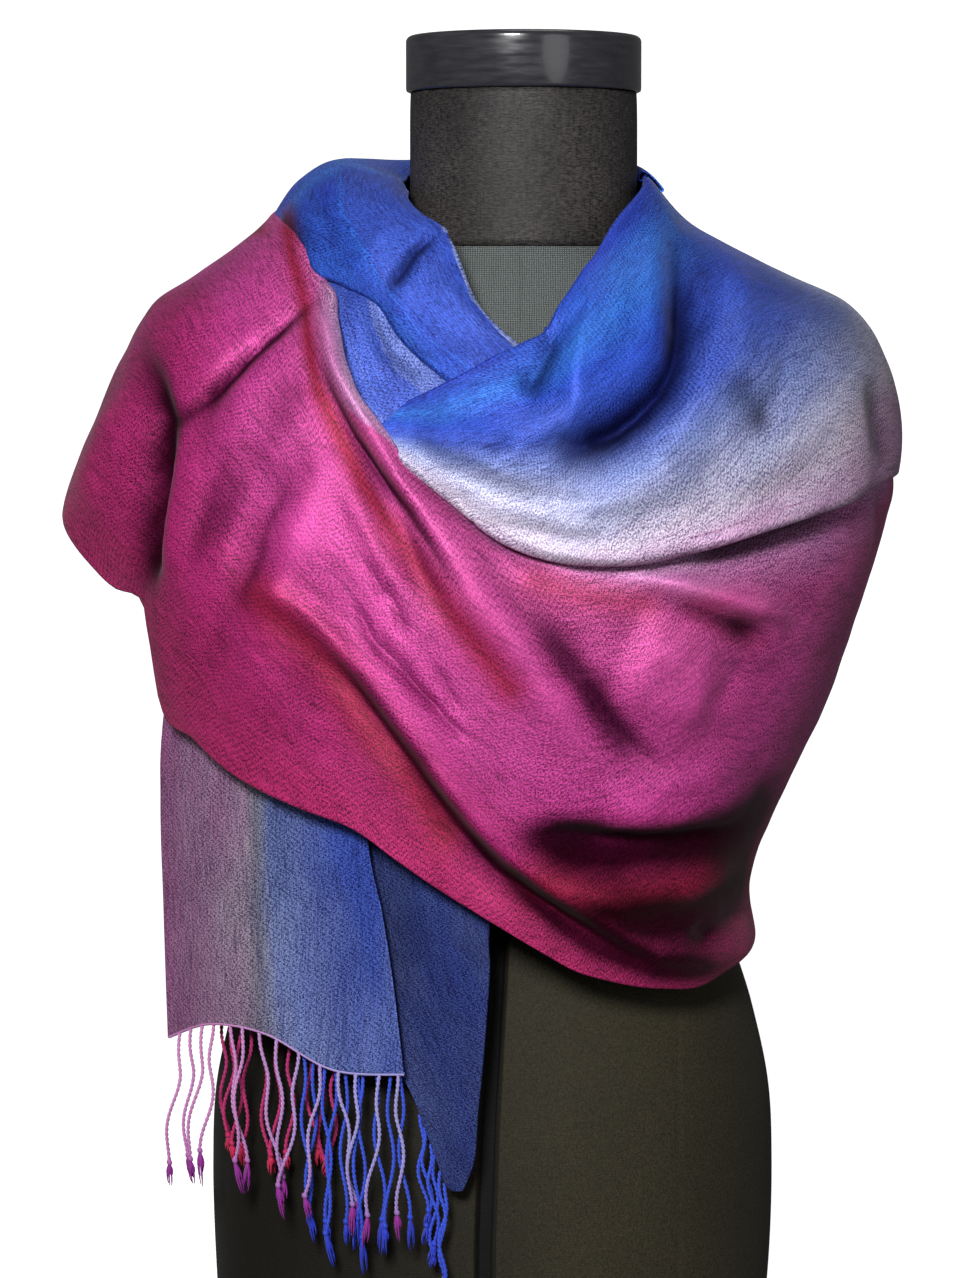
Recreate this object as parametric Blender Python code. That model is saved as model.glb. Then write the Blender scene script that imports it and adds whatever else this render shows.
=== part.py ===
"""A fringed shawl scarf wound round a limbless dress form.

The scarf is one wide strip of cloth. End A hangs in front on the left, the
strip goes over the left shoulder, round the back of the neck, over the right
shoulder, across the chest and over the left shoulder again, and end B hangs
down the back. Left and right are as seen from the front.

All tables are in millimetres. +X is right, +Y is back and +Z is up. The
origin is the centre of the form's flat base.
"""
import math

import bpy
import numpy as np

MM = 0.001
WALL = 1.3            # thickness of the cloth wall
EYE = np.array([-17.0, -2200.0, 579.0])   # the place that the front outline is taken from
SQUARENESS = 2.35     # 2 is an ellipse, more is a rounder rectangle

# The worn cloth is laid on a shell of rings, from the neck edge down to below the hems.
# Each ring passes through one named place on each side.
# left_x, left_z, right_x, right_z, front_y, front_z, back_y, back_z
RINGS = (
    (-60, 654, 58.6, 654, -66, 640, 68, 668),
    (-90, 660, 64, 651, -78, 627, 80, 655),
    (-111, 650, 82, 632, -91, 611, 92, 638),
    (-135, 625, 105, 619, -105, 594, 104, 618),
    (-163, 605, 136, 604, -117, 577, 113, 598),
    (-187, 588, 165, 590, -129, 557, 120, 575),
    (-197.5, 560, 183, 563, -140, 530, 126, 545),
    (-202, 524, 190.5, 526, -147, 498, 129, 508),
    (-206, 481, 183.5, 483, -151, 463, 130, 470),
    (-201, 438, 170, 440, -152, 426, 129, 430),
    (-192, 392, 153.5, 392, -150, 385, 127, 388),
    (-181, 350, 135, 352, -147, 345, 125, 346),
    (-173, 310, 115.5, 303, -142, 305, 122, 305),
    (-166, 268, 118, 266, -136, 264, 119, 262),
    (-160, 226, 110, 226, -130, 222, 116, 220),
    (-156, 186, 106, 186, -126, 182, 113, 180),
)

# The dress form: height, left, right, front and back of each level.
FORM_LEVELS = (
    (0, -150, 117.5, -100, 96),
    (60, -155, 122.5, -105, 101),
    (110, -158, 126.5, -108, 100),
    (155, -159, 127.5, -109, 101),
    (195, -157, 125.5, -107, 99),
    (235, -148, 117, -102, 95),
    (285, -134, 103, -96, 92),
    (340, -130, 102, -100, 92),
    (400, -138, 114, -112, 96),
    (460, -146, 128, -118, 100),
    (515, -152, 137, -112, 100),
    (555, -151.5, 150, -99.5, 92),
    (580, -132, 142, -85, 82),
    (600, -100, 112, -73, 72),
    (614, -66, 72, -63, 63),
    (619.5, -59, 59, -59, 59),
)
NECK_RADIUS = 57.5
NECK_BOTTOM = 620.0
NECK_TOP = 697.5
CAP_RADIUS = 59.5
CAP_TOP = 726.0
CAP_ROUND = 3.0
PART_GAP = 0.4
SLEEVE_FLARE = 26     # how far the corner over the left arm stands out
FRONT_FADE = (0.05, 0.35)   # over these sines of the angle the front's folds come in
BACK_FADE = (0.25, 0.50)    # and the back's folds, behind
# Where the cloth stops before a seam and starts again after it, in rows from the seam.
FRONT_SEAM = (0.0, 0.07)
BACK_SEAM = (0.03, 0.012)

# Where a row's place is given as "front", x and z are as seen from the eye, in the
# plane of the neck. "back" is square on from behind. "ring" is an angle and a ring.
COLLAR = (
    (("ring", -5, 0.1), ("ring", -5, 1.3)),
    (("ring", -45, 0.0), ("ring", -45, 1.5)),
    (("ring", -90, 0.0), ("ring", -90, 1.8)),
    (("ring", -135, 0.0), ("ring", -135, 2.1)),
    (("ring", -160, 0.0), ("ring", -160, 2.3)),
    (("ring", -178, 0.1), ("ring", -180, 2.4)),
    (("front", -57, 650), ("front", -122, 639)),
    (("front", -47, 633), ("front", -112, 622)),
    (("front", -39, 624), ("front", -105, 608)),
    (("front", -32, 609), ("front", -91, 602)),
    (("front", -23, 591), ("front", -73, 593)),
    (("front", -11, 580), ("front", -63, 579)),
    (("front", 0, 571), ("front", -48, 565)),
    (("front", 10, 556), ("front", -34, 553)),
)
INNER_FOLD = (
    (("front", -105, 606), ("front", -89, 606)),
    (("front", -102, 584), ("front", -66, 598)),
    (("front", -97, 563), ("front", -48, 578)),
    (("front", -88, 544), ("front", -26, 563)),
    (("front", -74, 529), ("front", -12, 551)),
)
COWL = (
    (("ring", -12, 0.9), ("ring", -12, 4.2), ("ring", -12, 7.5)),
    (("ring", 6, 0.8), ("ring", 6, 4.4), ("front", 183, 503)),
    (("front", 60, 648), ("front", 121, 584), ("front", 157, 492)),
    (("front", 50, 635), ("front", 98, 571), ("front", 136, 485)),
    (("front", 41, 621), ("front", 84, 553), ("front", 113, 477)),
    (("front", 33, 607), ("front", 71, 539), ("front", 90, 468)),
    (("front", 26, 597), ("front", 56, 529), ("front", 64, 461)),
    (("front", 18, 586), ("front", 38, 524), ("front", 39, 459)),
    (("front", 11, 575), ("front", 19, 524), ("front", 14, 462)),
    (("front", 0, 570), ("front", 0, 529), ("front", -12, 473)),
    (("front", -14, 564), ("front", -20, 531), ("front", -35, 491)),
    (("front", -29, 556), ("front", -38, 533), ("front", -51, 504)),
    (("front", -45, 548), ("front", -54, 534), ("front", -66, 517)),
    (("front", -60, 541), ("front", -68, 534), ("front", -77, 526)),
)
FRONT_WRAP = (
    (("ring", -12, 7.2), ("ring", -12, 10), ("ring", -12, 12.6)),
    (("ring", 3, 7.2), ("ring", 5, 10), ("front", 118, 266)),
    (("front", 155, 500), ("front", 133, 388), ("front", 104, 250)),
    (("front", 134, 493), ("front", 114, 376), ("front", 90, 242)),
    (("front", 111, 485), ("front", 96, 366), ("front", 75, 241)),
    (("front", 89, 475), ("front", 78, 359), ("front", 60, 242)),
    (("front", 64, 466), ("front", 58, 355), ("front", 44, 245)),
    (("front", 39, 462), ("front", 36, 355), ("front", 27, 250)),
    (("front", 14, 460), ("front", 13, 358), ("front", 9, 260)),
    (("front", -12, 471), ("front", -12, 368), ("front", -9, 271)),
    (("front", -34, 488), ("front", -34, 383), ("front", -27, 282)),
    (("front", -49, 501), ("front", -55, 400), ("front", -46, 294)),
    (("front", -62, 514), ("front", -74, 416), ("front", -66, 308)),
    (("front", -72, 528), ("front", -92, 433), ("front", -88, 324)),
    (("front", -82, 541), ("front", -108, 450), ("front", -112, 333)),
    (("front", -88, 555), ("front", -123, 468), ("front", -134, 343)),
    (("front", -93, 573), ("front", -139, 488), ("front", -153, 355)),
    (("front", -96, 586), ("front", -153, 506), ("front", -169, 370)),
    (("front", -98, 595), ("front", -166, 518), ("front", -184, 384)),
    (("front", -101, 600), ("front", -175, 527), ("front", -193, 437)),
)
SHOULDER_THROW = (
    (("front", -108, 609), ("front", -182, 534), ("ring", 163, 8.66)),
    (("front", -112.5, 618.5), ("front", -188, 543), ("ring", 169, 8.31)),
    (("front", -119.2, 627.0), ("front", -193, 554), ("ring", 175, 8.02)),
    (("ring", 181, 2.64), ("ring", 181, 5.3), ("ring", 181, 7.85)),
    (("ring", 191, 2.6), ("ring", 191, 5.3), ("ring", 191, 8.0)),
)
BACK_WRAP = (
    (("ring", -8, 0.9), ("ring", -8, 6.5), ("ring", -8, 12.8)),
    (("ring", -30, 0.6), ("ring", -30, 6.3), ("ring", -30, 12.5)),
    (("ring", -55, 0.4), ("ring", -55, 6.0), ("ring", -55, 11.8)),
    (("ring", -80, 0.4), ("ring", -80, 5.7), ("ring", -80, 11.0)),
    (("ring", -105, 0.4), ("ring", -105, 5.4), ("ring", -105, 10.1)),
    (("ring", -130, 0.5), ("ring", -130, 5.0), ("ring", -130, 9.2)),
    (("ring", -152, 0.9), ("ring", -152, 4.6), ("ring", -152, 8.3)),
    (("ring", -166, 1.8), ("ring", -166, 4.4), ("ring", -166, 7.2)),
)
BACK_TAIL = (
    (("ring", 222, 2.4), ("back", -174, 535), ("ring", 203, 8.35)),
    (("back", -48, 585), ("back", -138, 470), ("ring", 208, 9.9)),
    (("back", -40, 505), ("back", -112, 405), ("back", -165, 340)),
    (("back", -34, 415), ("back", -98, 335), ("back", -152, 290)),
    (("back", -31, 320), ("back", -90, 270), ("back", -142, 245)),
    (("back", -29, 212), ("back", -85, 206), ("back", -136, 200)),
)

# The hanging end A in front: x and z as seen from the eye, and the depth y.
FRONT_TAIL = (
    ((-142, 588, -41), (-128, 592, -51), (-114, 594, -59), (-102, 596, -66), (-90, 598, -72)),
    ((-168, 490, -44), (-152, 490, -69), (-132, 490, -91), (-110, 490, -107), (-88, 490, -118)),
    ((-183, 383, -52), (-160, 383, -80), (-135, 383, -101), (-108, 383, -115), (-84, 383, -124)),
    ((-185, 338, -54), (-163, 334, -82), (-136, 328, -102), (-107, 320, -116), (-79, 315, -125)),
    ((-184, 290, -55), (-162, 290, -81), (-135, 288, -102), (-103, 284, -116), (-72, 280, -126)),
    ((-183, 250, -55), (-161, 252, -82), (-133, 250, -102), (-99, 242, -116), (-66, 240, -126)),
    ((-182, 216, -56), (-160, 223, -82), (-132, 218, -102), (-98, 199, -117), (-61, 197, -126)),
)
TAIL_TURN = (
    ((-108, 383, -112.9), (-58, 383, -125), (-10, 383, -128)),
    ((-98, 315, -111), (-55, 300, -124), (-17, 276, -127)),
    ((-88, 262, -111), (-50, 252, -123), (-17, 250, -126)),
    ((-72, 214, -116), (-46, 212, -122), (-20, 207, -125)),
    ((-58, 188, -119), (-40, 182, -122), (-23, 177, -124)),
    ((-48, 162, -120), (-36, 157, -122), (-25, 152, -123)),
    ((-40, 139, -121), (-36, 136, -121), (-31, 136, -122)),
)
TAIL_BEHIND = (
    ((-176, 410, -51.5), (-134, 410, -96.5), (-97, 410, -111)),
    ((-178, 383, -44), (-134, 383, -88), (-96, 383, -102)),
    ((-178, 300, -46), (-134, 300, -89), (-94, 300, -103)),
    ((-177, 222, -48), (-133, 221, -90), (-92, 210, -105)),
)

# Folds of the front: rise, width on the upper side, width on the lower side, and the
# path of the crest as seen from the eye. A small width on one side makes an overhang.
SWAG_FOLDS = (
    (-7, 12, 12, ((78, 622), (81, 603), (79, 577), (70, 555), (57, 534), (36, 517), (15, 511))),
    (-4, 8, 10, ((-55, 535), (-30, 527), (-3, 518))),
    (7, 22, 14, ((50, 610), (44, 585), (38, 565), (24, 552), (0, 548))),
    (5, 20, 12, ((120, 590), (115, 555), (95, 525), (66, 502), (30, 490), (-10, 494))),
    (6, 16, 4, ((178, 505), (136, 487), (90, 470), (62, 463), (38, 461), (13, 465), (-12, 477))),
    (-4, 10, 14, ((113, 560), (104, 535), (92, 518), (70, 508))),
)
WRAP_FOLDS = (
    (7, 7, 9, ((-101, 594), (-101, 582), (-97, 562), (-89, 546), (-78, 528), (-67, 506))),
    (6, 12, 16, ((-67, 506), (-50, 480), (-22, 440), (-1, 418), (20, 392), (36, 365), (40, 348))),
    (-6, 7, 10, ((-92, 545), (-76, 507), (-53, 461), (-35, 431))),
    (-6, 10, 14, ((5, 436), (22, 407), (40, 384), (60, 358), (70, 341))),
    (6, 9, 12, ((62, 450), (89, 443), (120, 438), (138, 428))),
    (-6, 8, 9, ((62, 449), (96, 436), (129, 423))),
    (6, 38, 34, ((50, 415), (80, 402), (102, 392))),
    (7, 26, 8, ((122, 347), (105, 334), (88, 328), (70, 325), (38, 327))),
    (-7, 6, 12, ((12, 322), (40, 318), (80, 317), (115, 322))),
    (6, 14, 4, ((-113, 441), (-90, 413), (-73, 392), (-49, 361), (-26, 329), (-9, 311),
                (12, 294), (32, 281), (56, 265), (72, 257), (90, 255), (104, 257))),
    (-4, 5, 10, ((-60, 358), (-38, 325), (-15, 300), (12, 284), (44, 264))),
    (-4, 6, 8, ((-106, 590), (-122, 582), (-139, 567), (-163, 541), (-178, 527))),
    (5, 18, 22, ((-120, 560), (-150, 500), (-165, 450), (-172, 410))),
    (4, 14, 14, ((-100, 500), (-128, 440), (-140, 400), (-150, 372))),
    (-4, 12, 12, ((-105, 530), (-135, 470), (-150, 420))),
    (-5, 7, 7, ((-176, 528), (-183, 500), (-189, 462), (-193, 440))),
    (4, 16, 16, ((-198, 545), (-205, 515), (-212, 480))),
)
BACK_FOLDS = (
    (5, 16, 22, ((110, 400), (40, 430), (-40, 500), (-110, 570))),
    (-5, 14, 14, ((120, 340), (50, 380), (-30, 450), (-100, 530))),
    (5, 18, 20, ((110, 480), (50, 500), (-20, 555), (-80, 610))),
    (-4, 14, 16, ((130, 440), (60, 465), (-30, 525), (-95, 590))),
    (4, 16, 12, ((60, 600), (20, 590), (-30, 610))),
    (4, 16, 16, ((110, 300), (60, 325), (0, 385))),
)
BACK_TAIL_FOLDS = (
    (6, 12, 14, ((-146, 530), (-130, 480), (-112, 380), (-106, 280), (-104, 205))),
    (-5, 11, 12, ((-106, 530), (-98, 500), (-84, 380), (-78, 280), (-76, 208))),
    (5, 11, 11, ((-72, 530), (-66, 500), (-58, 380), (-54, 280), (-52, 210))),
    (-5, 12, 12, ((-185, 520), (-160, 430), (-140, 330), (-132, 250), (-128, 204))),
)

# How many strands each row of fringe has, and the size of a strand and of its strip.
LAVENDER_STRANDS = 13
MAGENTA_STRANDS = 10
BLUE_STRANDS = 9
CORNER_STRANDS = 5
BACK_STRANDS = 28
STRAND_WIDTH = 1.7
STRIP_HEIGHT = 1.8
# Down a strand: the share of its length, and its thickness, with a knot near the end.
STRAND_PROFILE = ((0.45, 0.7), (0.82, 0.7), (0.90, 1.25), (1.0, 0.5))
TAIL_CUT = 11   # the column of the front end where the lavender fringe stops

COLOURS = {
    "magenta": (0.42, 0.02, 0.17), "blue": (0.02, 0.03, 0.45), "lavender": (0.28, 0.24, 0.45),
    "periwinkle": (0.10, 0.18, 0.60), "mauve": (0.20, 0.08, 0.26), "black_cloth": (0.03, 0.03, 0.025),
    "grey_net": (0.06, 0.055, 0.05), "cap_gloss": (0.03, 0.03, 0.035),
}


def clear_scene():
    for old in list(bpy.data.objects):
        bpy.data.objects.remove(old, do_unlink=True)


def spline(rows, place):
    """Read a smooth curve through the rows of a table at fractional row numbers."""
    rows = np.asarray(rows, float)
    last = len(rows) - 1
    place = np.clip(np.asarray(place, float), 0, last)
    low = np.minimum(place.astype(int), last - 1)
    part = (place - low).reshape(place.shape + (1,) * (rows.ndim - 1))
    before = rows[np.maximum(low - 1, 0)]
    start = rows[low]
    end = rows[low + 1]
    after = rows[np.minimum(low + 2, last)]
    slope = (end - before) * part
    bend = (2 * before - 5 * start + 4 * end - after) * part ** 2
    turn = (3 * start - before - 3 * end + after) * part ** 3
    return start + 0.5 * (slope + bend + turn)


def shell_point(angle, ring):
    """The place on the shell at an angle in degrees, 0 at the right and 90 in front."""
    left_x, left_z, right_x, right_z, front_y, front_z, back_y, back_z = np.moveaxis(
        spline(RINGS, ring), -1, 0)
    turn = np.radians(angle)
    cosine = np.cos(turn)
    sine = np.sin(turn)
    reach = (np.abs(cosine) ** SQUARENESS + np.abs(sine) ** SQUARENESS) ** (-1 / SQUARENESS)
    x = (left_x + right_x) / 2 + (right_x - left_x) / 2 * cosine * reach
    y = np.where(sine > 0, front_y, -back_y) * sine * reach
    middle = (left_z + right_z + front_z + back_z) / 4
    twist = (left_z + right_z - front_z - back_z) / 4
    z = middle + (right_z - left_z) / 2 * cosine + (front_z - back_z) / 2 * sine
    z = z + twist * np.cos(2 * turn)
    return np.stack([x, y, z], axis=-1)


def shell_normal(angle, ring):
    step = 0.02
    along = shell_point(angle + step * 20, ring) - shell_point(angle - step * 20, ring)
    down = shell_point(angle, ring + step) - shell_point(angle, ring - step)
    normal = np.cross(along, down)
    return normal / np.linalg.norm(normal, axis=-1, keepdims=True)


def seen(points):
    """Where points appear from the eye, in the plane of the neck."""
    scale = -EYE[1] / (points[..., 1] - EYE[1])
    x = EYE[0] + (points[..., 0] - EYE[0]) * scale
    z = EYE[2] + (points[..., 2] - EYE[2]) * scale
    return np.stack([x, z], axis=-1)


def at_depth(x, z, y):
    """The place that is seen at x, z and lies at depth y."""
    scale = (y - EYE[1]) / -EYE[1]
    return np.array([EYE[0] + (x - EYE[0]) * scale, y, EYE[2] + (z - EYE[2]) * scale])


def flat_view(points, side):
    return seen(points) if side == "front" else points[..., [0, 2]]


def search_grid(side):
    angles = np.linspace(0, 180, 91) + (0 if side == "front" else 180)
    rings = np.linspace(0, len(RINGS) - 1, 16 * 8)
    angle, ring = np.meshgrid(angles, rings, indexing="ij")
    return angle, ring, flat_view(shell_point(angle, ring), side)


def locate(place, grids):
    """Turn a table's place into an angle and a ring."""
    kind, first, second = place
    if kind == "ring":
        return np.array([first, second], float)
    if kind not in grids:
        grids[kind] = search_grid(kind)
    angle, ring, view = grids[kind]
    target = np.array([first, second], float)
    best = np.argmin(((view - target) ** 2).sum(axis=-1))
    found = np.array([angle.flat[best], ring.flat[best]])
    low, high = (0, 180) if kind == "front" else (180, 360)
    for _ in range(8):
        here = flat_view(shell_point(found[0], found[1]), kind)
        by_angle = flat_view(shell_point(found[0] + 0.1, found[1]), kind) - here
        by_ring = flat_view(shell_point(found[0], found[1] + 0.01), kind) - here
        slope = np.stack([by_angle / 0.1, by_ring / 0.01], axis=1)
        if abs(np.linalg.det(slope)) < 1e-3:
            break
        move = np.linalg.solve(slope, target - here)
        move = np.clip(move, [-3, -0.3], [3, 0.3])
        found = found + move
        found[0] = np.clip(found[0], low, high)
        found[1] = np.clip(found[1], 0, len(RINGS) - 1)
    return found


def even_steps(rows, count, first, last):
    """Row numbers from first to last that step evenly along the middle of a table."""
    middle = rows[:, rows.shape[1] // 2]
    length = np.concatenate([[0], np.cumsum(np.linalg.norm(np.diff(middle, axis=0), axis=1))])
    numbers = np.arange(len(rows))
    ends = np.interp([first, last], numbers, length)
    return np.interp(np.linspace(*ends, count), length, numbers)


def patch(table, count_along, count_across, first=0, last=None):
    """Angles and rings of a grid of places laid through a table's rows."""
    last = len(table) - 1 if last is None else last
    grids = {}
    rows = np.array([[locate(place, grids) for place in row] for row in table])
    for index in range(1, len(rows)):
        turns = np.round((rows[index, :, 0] - rows[index - 1, :, 0]) / 360)
        rows[index, :, 0] -= 360 * turns
    measured = shell_point(rows[..., 0], rows[..., 1])
    along = spline(rows, even_steps(measured, count_along, first, last))
    across = np.linspace(0, rows.shape[1] - 1, count_across)
    placed = np.moveaxis(spline(np.moveaxis(along, 1, 0), across), 0, 1)
    placed[..., 1] = np.clip(placed[..., 1], 0.05, len(RINGS) - 1.05)
    return placed


def fold_height(view, folds):
    """How far the folds push the cloth out at each place of a view."""
    total = np.zeros(view.shape[:-1])
    for rise, upper, lower, path in folds:
        path = np.asarray(path, float)
        nearest = np.full(view.shape[:-1], 1e9)
        side = np.ones(view.shape[:-1])
        for start, end in zip(path[:-1], path[1:]):
            run = end - start
            length = np.linalg.norm(run)
            offset = view - start
            share = np.clip((offset @ run) / length ** 2, 0, 1)
            apart = offset - share[..., None] * run
            gap = np.linalg.norm(apart, axis=-1)
            cross = run[0] * offset[..., 1] - run[1] * offset[..., 0]
            closer = gap < nearest
            nearest = np.where(closer, gap, nearest)
            side = np.where(closer, np.where(cross > 0, 1, -1), side)
        facing = 1 if path[-1][0] > path[0][0] else -1
        width = np.where(side * facing > 0, upper, lower)
        total += rise * np.exp(-(nearest / width) ** 2)
    return total


def soft_step(value, start, end):
    share = np.clip((value - start) / (end - start), 0, 1)
    return share * share * (3 - 2 * share)


def grid_normals(points):
    along = np.gradient(points, axis=0)
    across = np.gradient(points, axis=1)
    normal = np.cross(along, across)
    return normal / np.maximum(np.linalg.norm(normal, axis=-1, keepdims=True), 1e-9)


def make_object(name, vertices, faces, colour, roughness=0.6):
    mesh = bpy.data.meshes.new(name)
    mesh.from_pydata([tuple(p * MM for p in vertex) for vertex in vertices], [], faces)
    mesh.validate()
    mesh.update()
    mesh.shade_smooth()
    mesh.set_sharp_from_angle(angle=math.radians(50))
    made = bpy.data.objects.new(name, mesh)
    bpy.context.collection.objects.link(made)
    material = bpy.data.materials.new(name + "_finish")
    material.use_nodes = True
    finish = material.node_tree.nodes["Principled BSDF"]
    finish.inputs["Base Color"].default_value = (*COLOURS[colour], 1)
    finish.inputs["Roughness"].default_value = roughness
    finish.inputs["Metallic"].default_value = 0.0
    mesh.materials.append(material)
    return made


def signed_volume(vertices, faces):
    total = 0.0
    for face in faces:
        first = vertices[face[0]]
        for second, third in zip(face[1:-1], face[2:]):
            total += np.dot(first, np.cross(vertices[second], vertices[third]))
    return total


def cloth_wall(name, outer, inward, colour):
    """Close a grid of outer points into a wall, with its inner side WALL deeper."""
    rows, columns = outer.shape[:2]
    inner = outer + inward * WALL
    vertices = np.concatenate([outer.reshape(-1, 3), inner.reshape(-1, 3)])
    under = rows * columns
    faces = []
    for i in range(rows - 1):
        for j in range(columns - 1):
            a, b = i * columns + j, i * columns + j + 1
            c, d = b + columns, a + columns
            faces.append((a, b, c, d))
            faces.append((under + d, under + c, under + b, under + a))
    border = [j for j in range(columns)]
    border += [i * columns + columns - 1 for i in range(1, rows)]
    border += [(rows - 1) * columns + j for j in range(columns - 2, -1, -1)]
    border += [i * columns for i in range(rows - 2, 0, -1)]
    for a, b in zip(border, border[1:] + border[:1]):
        faces.append((b, a, under + a, under + b))
    if signed_volume(vertices, faces) < 0:
        faces = [tuple(reversed(face)) for face in faces]
    return make_object(name, vertices, faces, colour)


def draped(name, table, counts, colour, folds, offset, back_folds=(), span=(0, None)):
    """A stretch of cloth on the shell. offset(along, across) is its distance outside it."""
    placed = patch(table, *counts, *span)
    angle, ring = placed[..., 0], placed[..., 1]
    base = shell_point(angle, ring)
    normal = shell_normal(angle, ring)
    along, across = np.meshgrid(np.linspace(0, 1, counts[0]), np.linspace(0, 1, counts[1]),
                                indexing="ij")
    frontness = np.sin(np.radians(angle))
    in_front = soft_step(frontness, *FRONT_FADE)
    behind = soft_step(-frontness, *BACK_FADE)
    height = offset(along, across) + in_front * fold_height(seen(base), folds)
    height = height + behind * fold_height(flat_view(base, "back"), back_folds)
    outer = base + normal * height[..., None]
    facing = grid_normals(outer)
    if (facing * normal).sum() < 0:
        facing = -facing
    return cloth_wall(name, outer, -facing, colour), outer


def hanging(name, table, counts, colour, ripple=0.0):
    """A stretch of cloth that hangs free, through rows of seen places and depths."""
    rows = np.array([[at_depth(*place) for place in row] for row in table])
    along = spline(rows, np.linspace(0, len(rows) - 1, counts[0]))
    across = np.linspace(0, rows.shape[1] - 1, counts[1])
    outer = np.moveaxis(spline(np.moveaxis(along, 1, 0), across), 0, 1)
    share = np.linspace(0, 1, counts[1])
    wave = ripple * np.sin(share * 3.2 * math.pi + 0.6)
    fall = soft_step(np.linspace(0, 1, counts[0]), 0.35, 1.0)
    outer[..., 1] += fall[:, None] * wave[None, :]
    facing = grid_normals(outer)
    if facing[..., 1].sum() > 0:
        facing = -facing
    return cloth_wall(name, outer, -facing, colour), outer


def comb(name, edge, roots, lengths, sway, colour):
    """A strip along a cloth's end edge, with a strand hanging from it at each root.

    edge is a run of places, roots are shares of its length, and sway is how far
    each strand's tip drifts sideways and forward.
    """
    edge = np.asarray(edge, float)
    run = np.concatenate([[0], np.cumsum(np.linalg.norm(np.diff(edge, axis=0), axis=1))])
    total = run[-1]

    def place(share):
        at = np.clip(share, 0, 1) * total
        return np.array([np.interp(at, run, edge[:, axis]) for axis in range(3)])

    half = STRAND_WIDTH / 2 / total
    stations = [0.0]
    for root in roots:
        stations += [root - half, root + half]
    stations.append(1.0)
    vertices = []
    for share in stations:
        centre = place(share)
        heading = place(share + half) - place(share - half)
        heading /= np.linalg.norm(heading)
        out = np.array([heading[1], -heading[0], 0.0])
        out /= np.linalg.norm(out)
        away = np.cross(heading, out)
        away *= -1 if away[2] > 0 else 1
        thick = out * WALL / 2
        top = centre + away * PART_GAP
        low = top + away * STRIP_HEIGHT
        vertices += [top + thick, low + thick, low - thick, top - thick]
    faces = []
    for cell in range(len(stations) - 1):
        a, b = cell * 4, cell * 4 + 4
        tooth = cell % 2 == 1
        for k in range(4):
            if tooth and k == 1:
                continue
            n = (k + 1) % 4
            faces.append((a + k, a + n, b + n, b + k))
    last = (len(stations) - 1) * 4
    faces.append((0, 3, 2, 1))
    faces.append((last, last + 1, last + 2, last + 3))
    for index, root in enumerate(roots):
        a = (1 + 2 * index) * 4
        ring = [a + 1, a + 2, a + 6, a + 5]
        corners = np.array([vertices[k] for k in ring])
        centre = corners.mean(axis=0)
        spread = corners - centre
        side, ahead = sway[index]
        for share, size in STRAND_PROFILE:
            drift = np.array([side * share ** 1.4, ahead * math.sin(share * math.pi), 0.0])
            middle = centre + drift - np.array([0, 0, lengths[index] * share])
            start = len(vertices)
            vertices += [middle + corner * size for corner in spread]
            fresh = list(range(start, start + 4))
            for k in range(4):
                n = (k + 1) % 4
                faces.append((ring[k], ring[n], fresh[n], fresh[k]))
            ring = fresh
        faces.append(tuple(ring))
    vertices = np.array(vertices)
    if signed_volume(vertices, faces) < 0:
        faces = [tuple(reversed(face)) for face in faces]
    return make_object(name, vertices, faces, colour)


def even_roots(count, start=0.03, end=0.97):
    step = (end - start) / (count - 1)
    return [start + step * k + 0.16 * step * math.sin(2.3 * k) for k in range(count)]


def swaying(count, phase, side=3.0, ahead=1.5):
    """Uneven but repeatable drifts of neighbouring strands, small enough to keep apart."""
    return [(side * math.sin(1.7 * k + phase), ahead * math.cos(2.1 * k + phase))
            for k in range(count)]


def uneven(count, length, spread, phase):
    return [length + spread * math.sin(2.6 * k + phase) for k in range(count)]


def level_ring(left, right, front, back, height, count=44):
    points = []
    for k in range(count):
        turn = 2 * math.pi * k / count
        cosine, sine = math.cos(turn), math.sin(turn)
        reach = (abs(cosine) ** SQUARENESS + abs(sine) ** SQUARENESS) ** (-1 / SQUARENESS)
        x = (left + right) / 2 + (right - left) / 2 * cosine * reach
        y = (back if sine > 0 else -front) * sine * reach
        points.append((x, y, height))
    return points


def circle(radius, height, count=44):
    """A level round ring, with as many points as level_ring gives."""
    turns = [2 * math.pi * k / count for k in range(count)]
    return [(radius * math.cos(turn), radius * math.sin(turn), height) for turn in turns]


def stacked(name, rings, colour, roughness=0.7):
    """A closed solid through level rings of equal count, with flat ends."""
    count = len(rings[0])
    vertices = np.array([point for ring in rings for point in ring])
    faces = []
    for level in range(len(rings) - 1):
        for k in range(count):
            n = (k + 1) % count
            a, b = level * count, (level + 1) * count
            faces.append((a + k, a + n, b + n, b + k))
    faces.append(tuple(reversed(range(count))))
    top = (len(rings) - 1) * count
    faces.append(tuple(range(top, top + count)))
    if signed_volume(vertices, faces) < 0:
        faces = [tuple(reversed(face)) for face in faces]
    return make_object(name, vertices, faces, colour, roughness)


def dress_form():
    levels = spline(FORM_LEVELS, np.linspace(0, len(FORM_LEVELS) - 1, 20))
    rings = [level_ring(left, right, front, back, z) for z, left, right, front, back in levels]
    stacked("form_torso", rings, "black_cloth")
    stacked("form_neck", [circle(NECK_RADIUS, NECK_BOTTOM), circle(NECK_RADIUS, NECK_TOP)],
            "grey_net")
    bottom = NECK_TOP + PART_GAP
    stacked("form_neck_cap", [
        circle(CAP_RADIUS - 1, bottom), circle(CAP_RADIUS, bottom + 1.5),
        circle(CAP_RADIUS, CAP_TOP - CAP_ROUND),
        circle(CAP_RADIUS - 0.3 * CAP_ROUND, CAP_TOP - 0.3 * CAP_ROUND),
        circle(CAP_RADIUS - CAP_ROUND, CAP_TOP)], "cap_gloss", 0.25)


def sleeve_flare(across):
    return SLEEVE_FLARE * soft_step(across, 0.53, 1.03)


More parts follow.
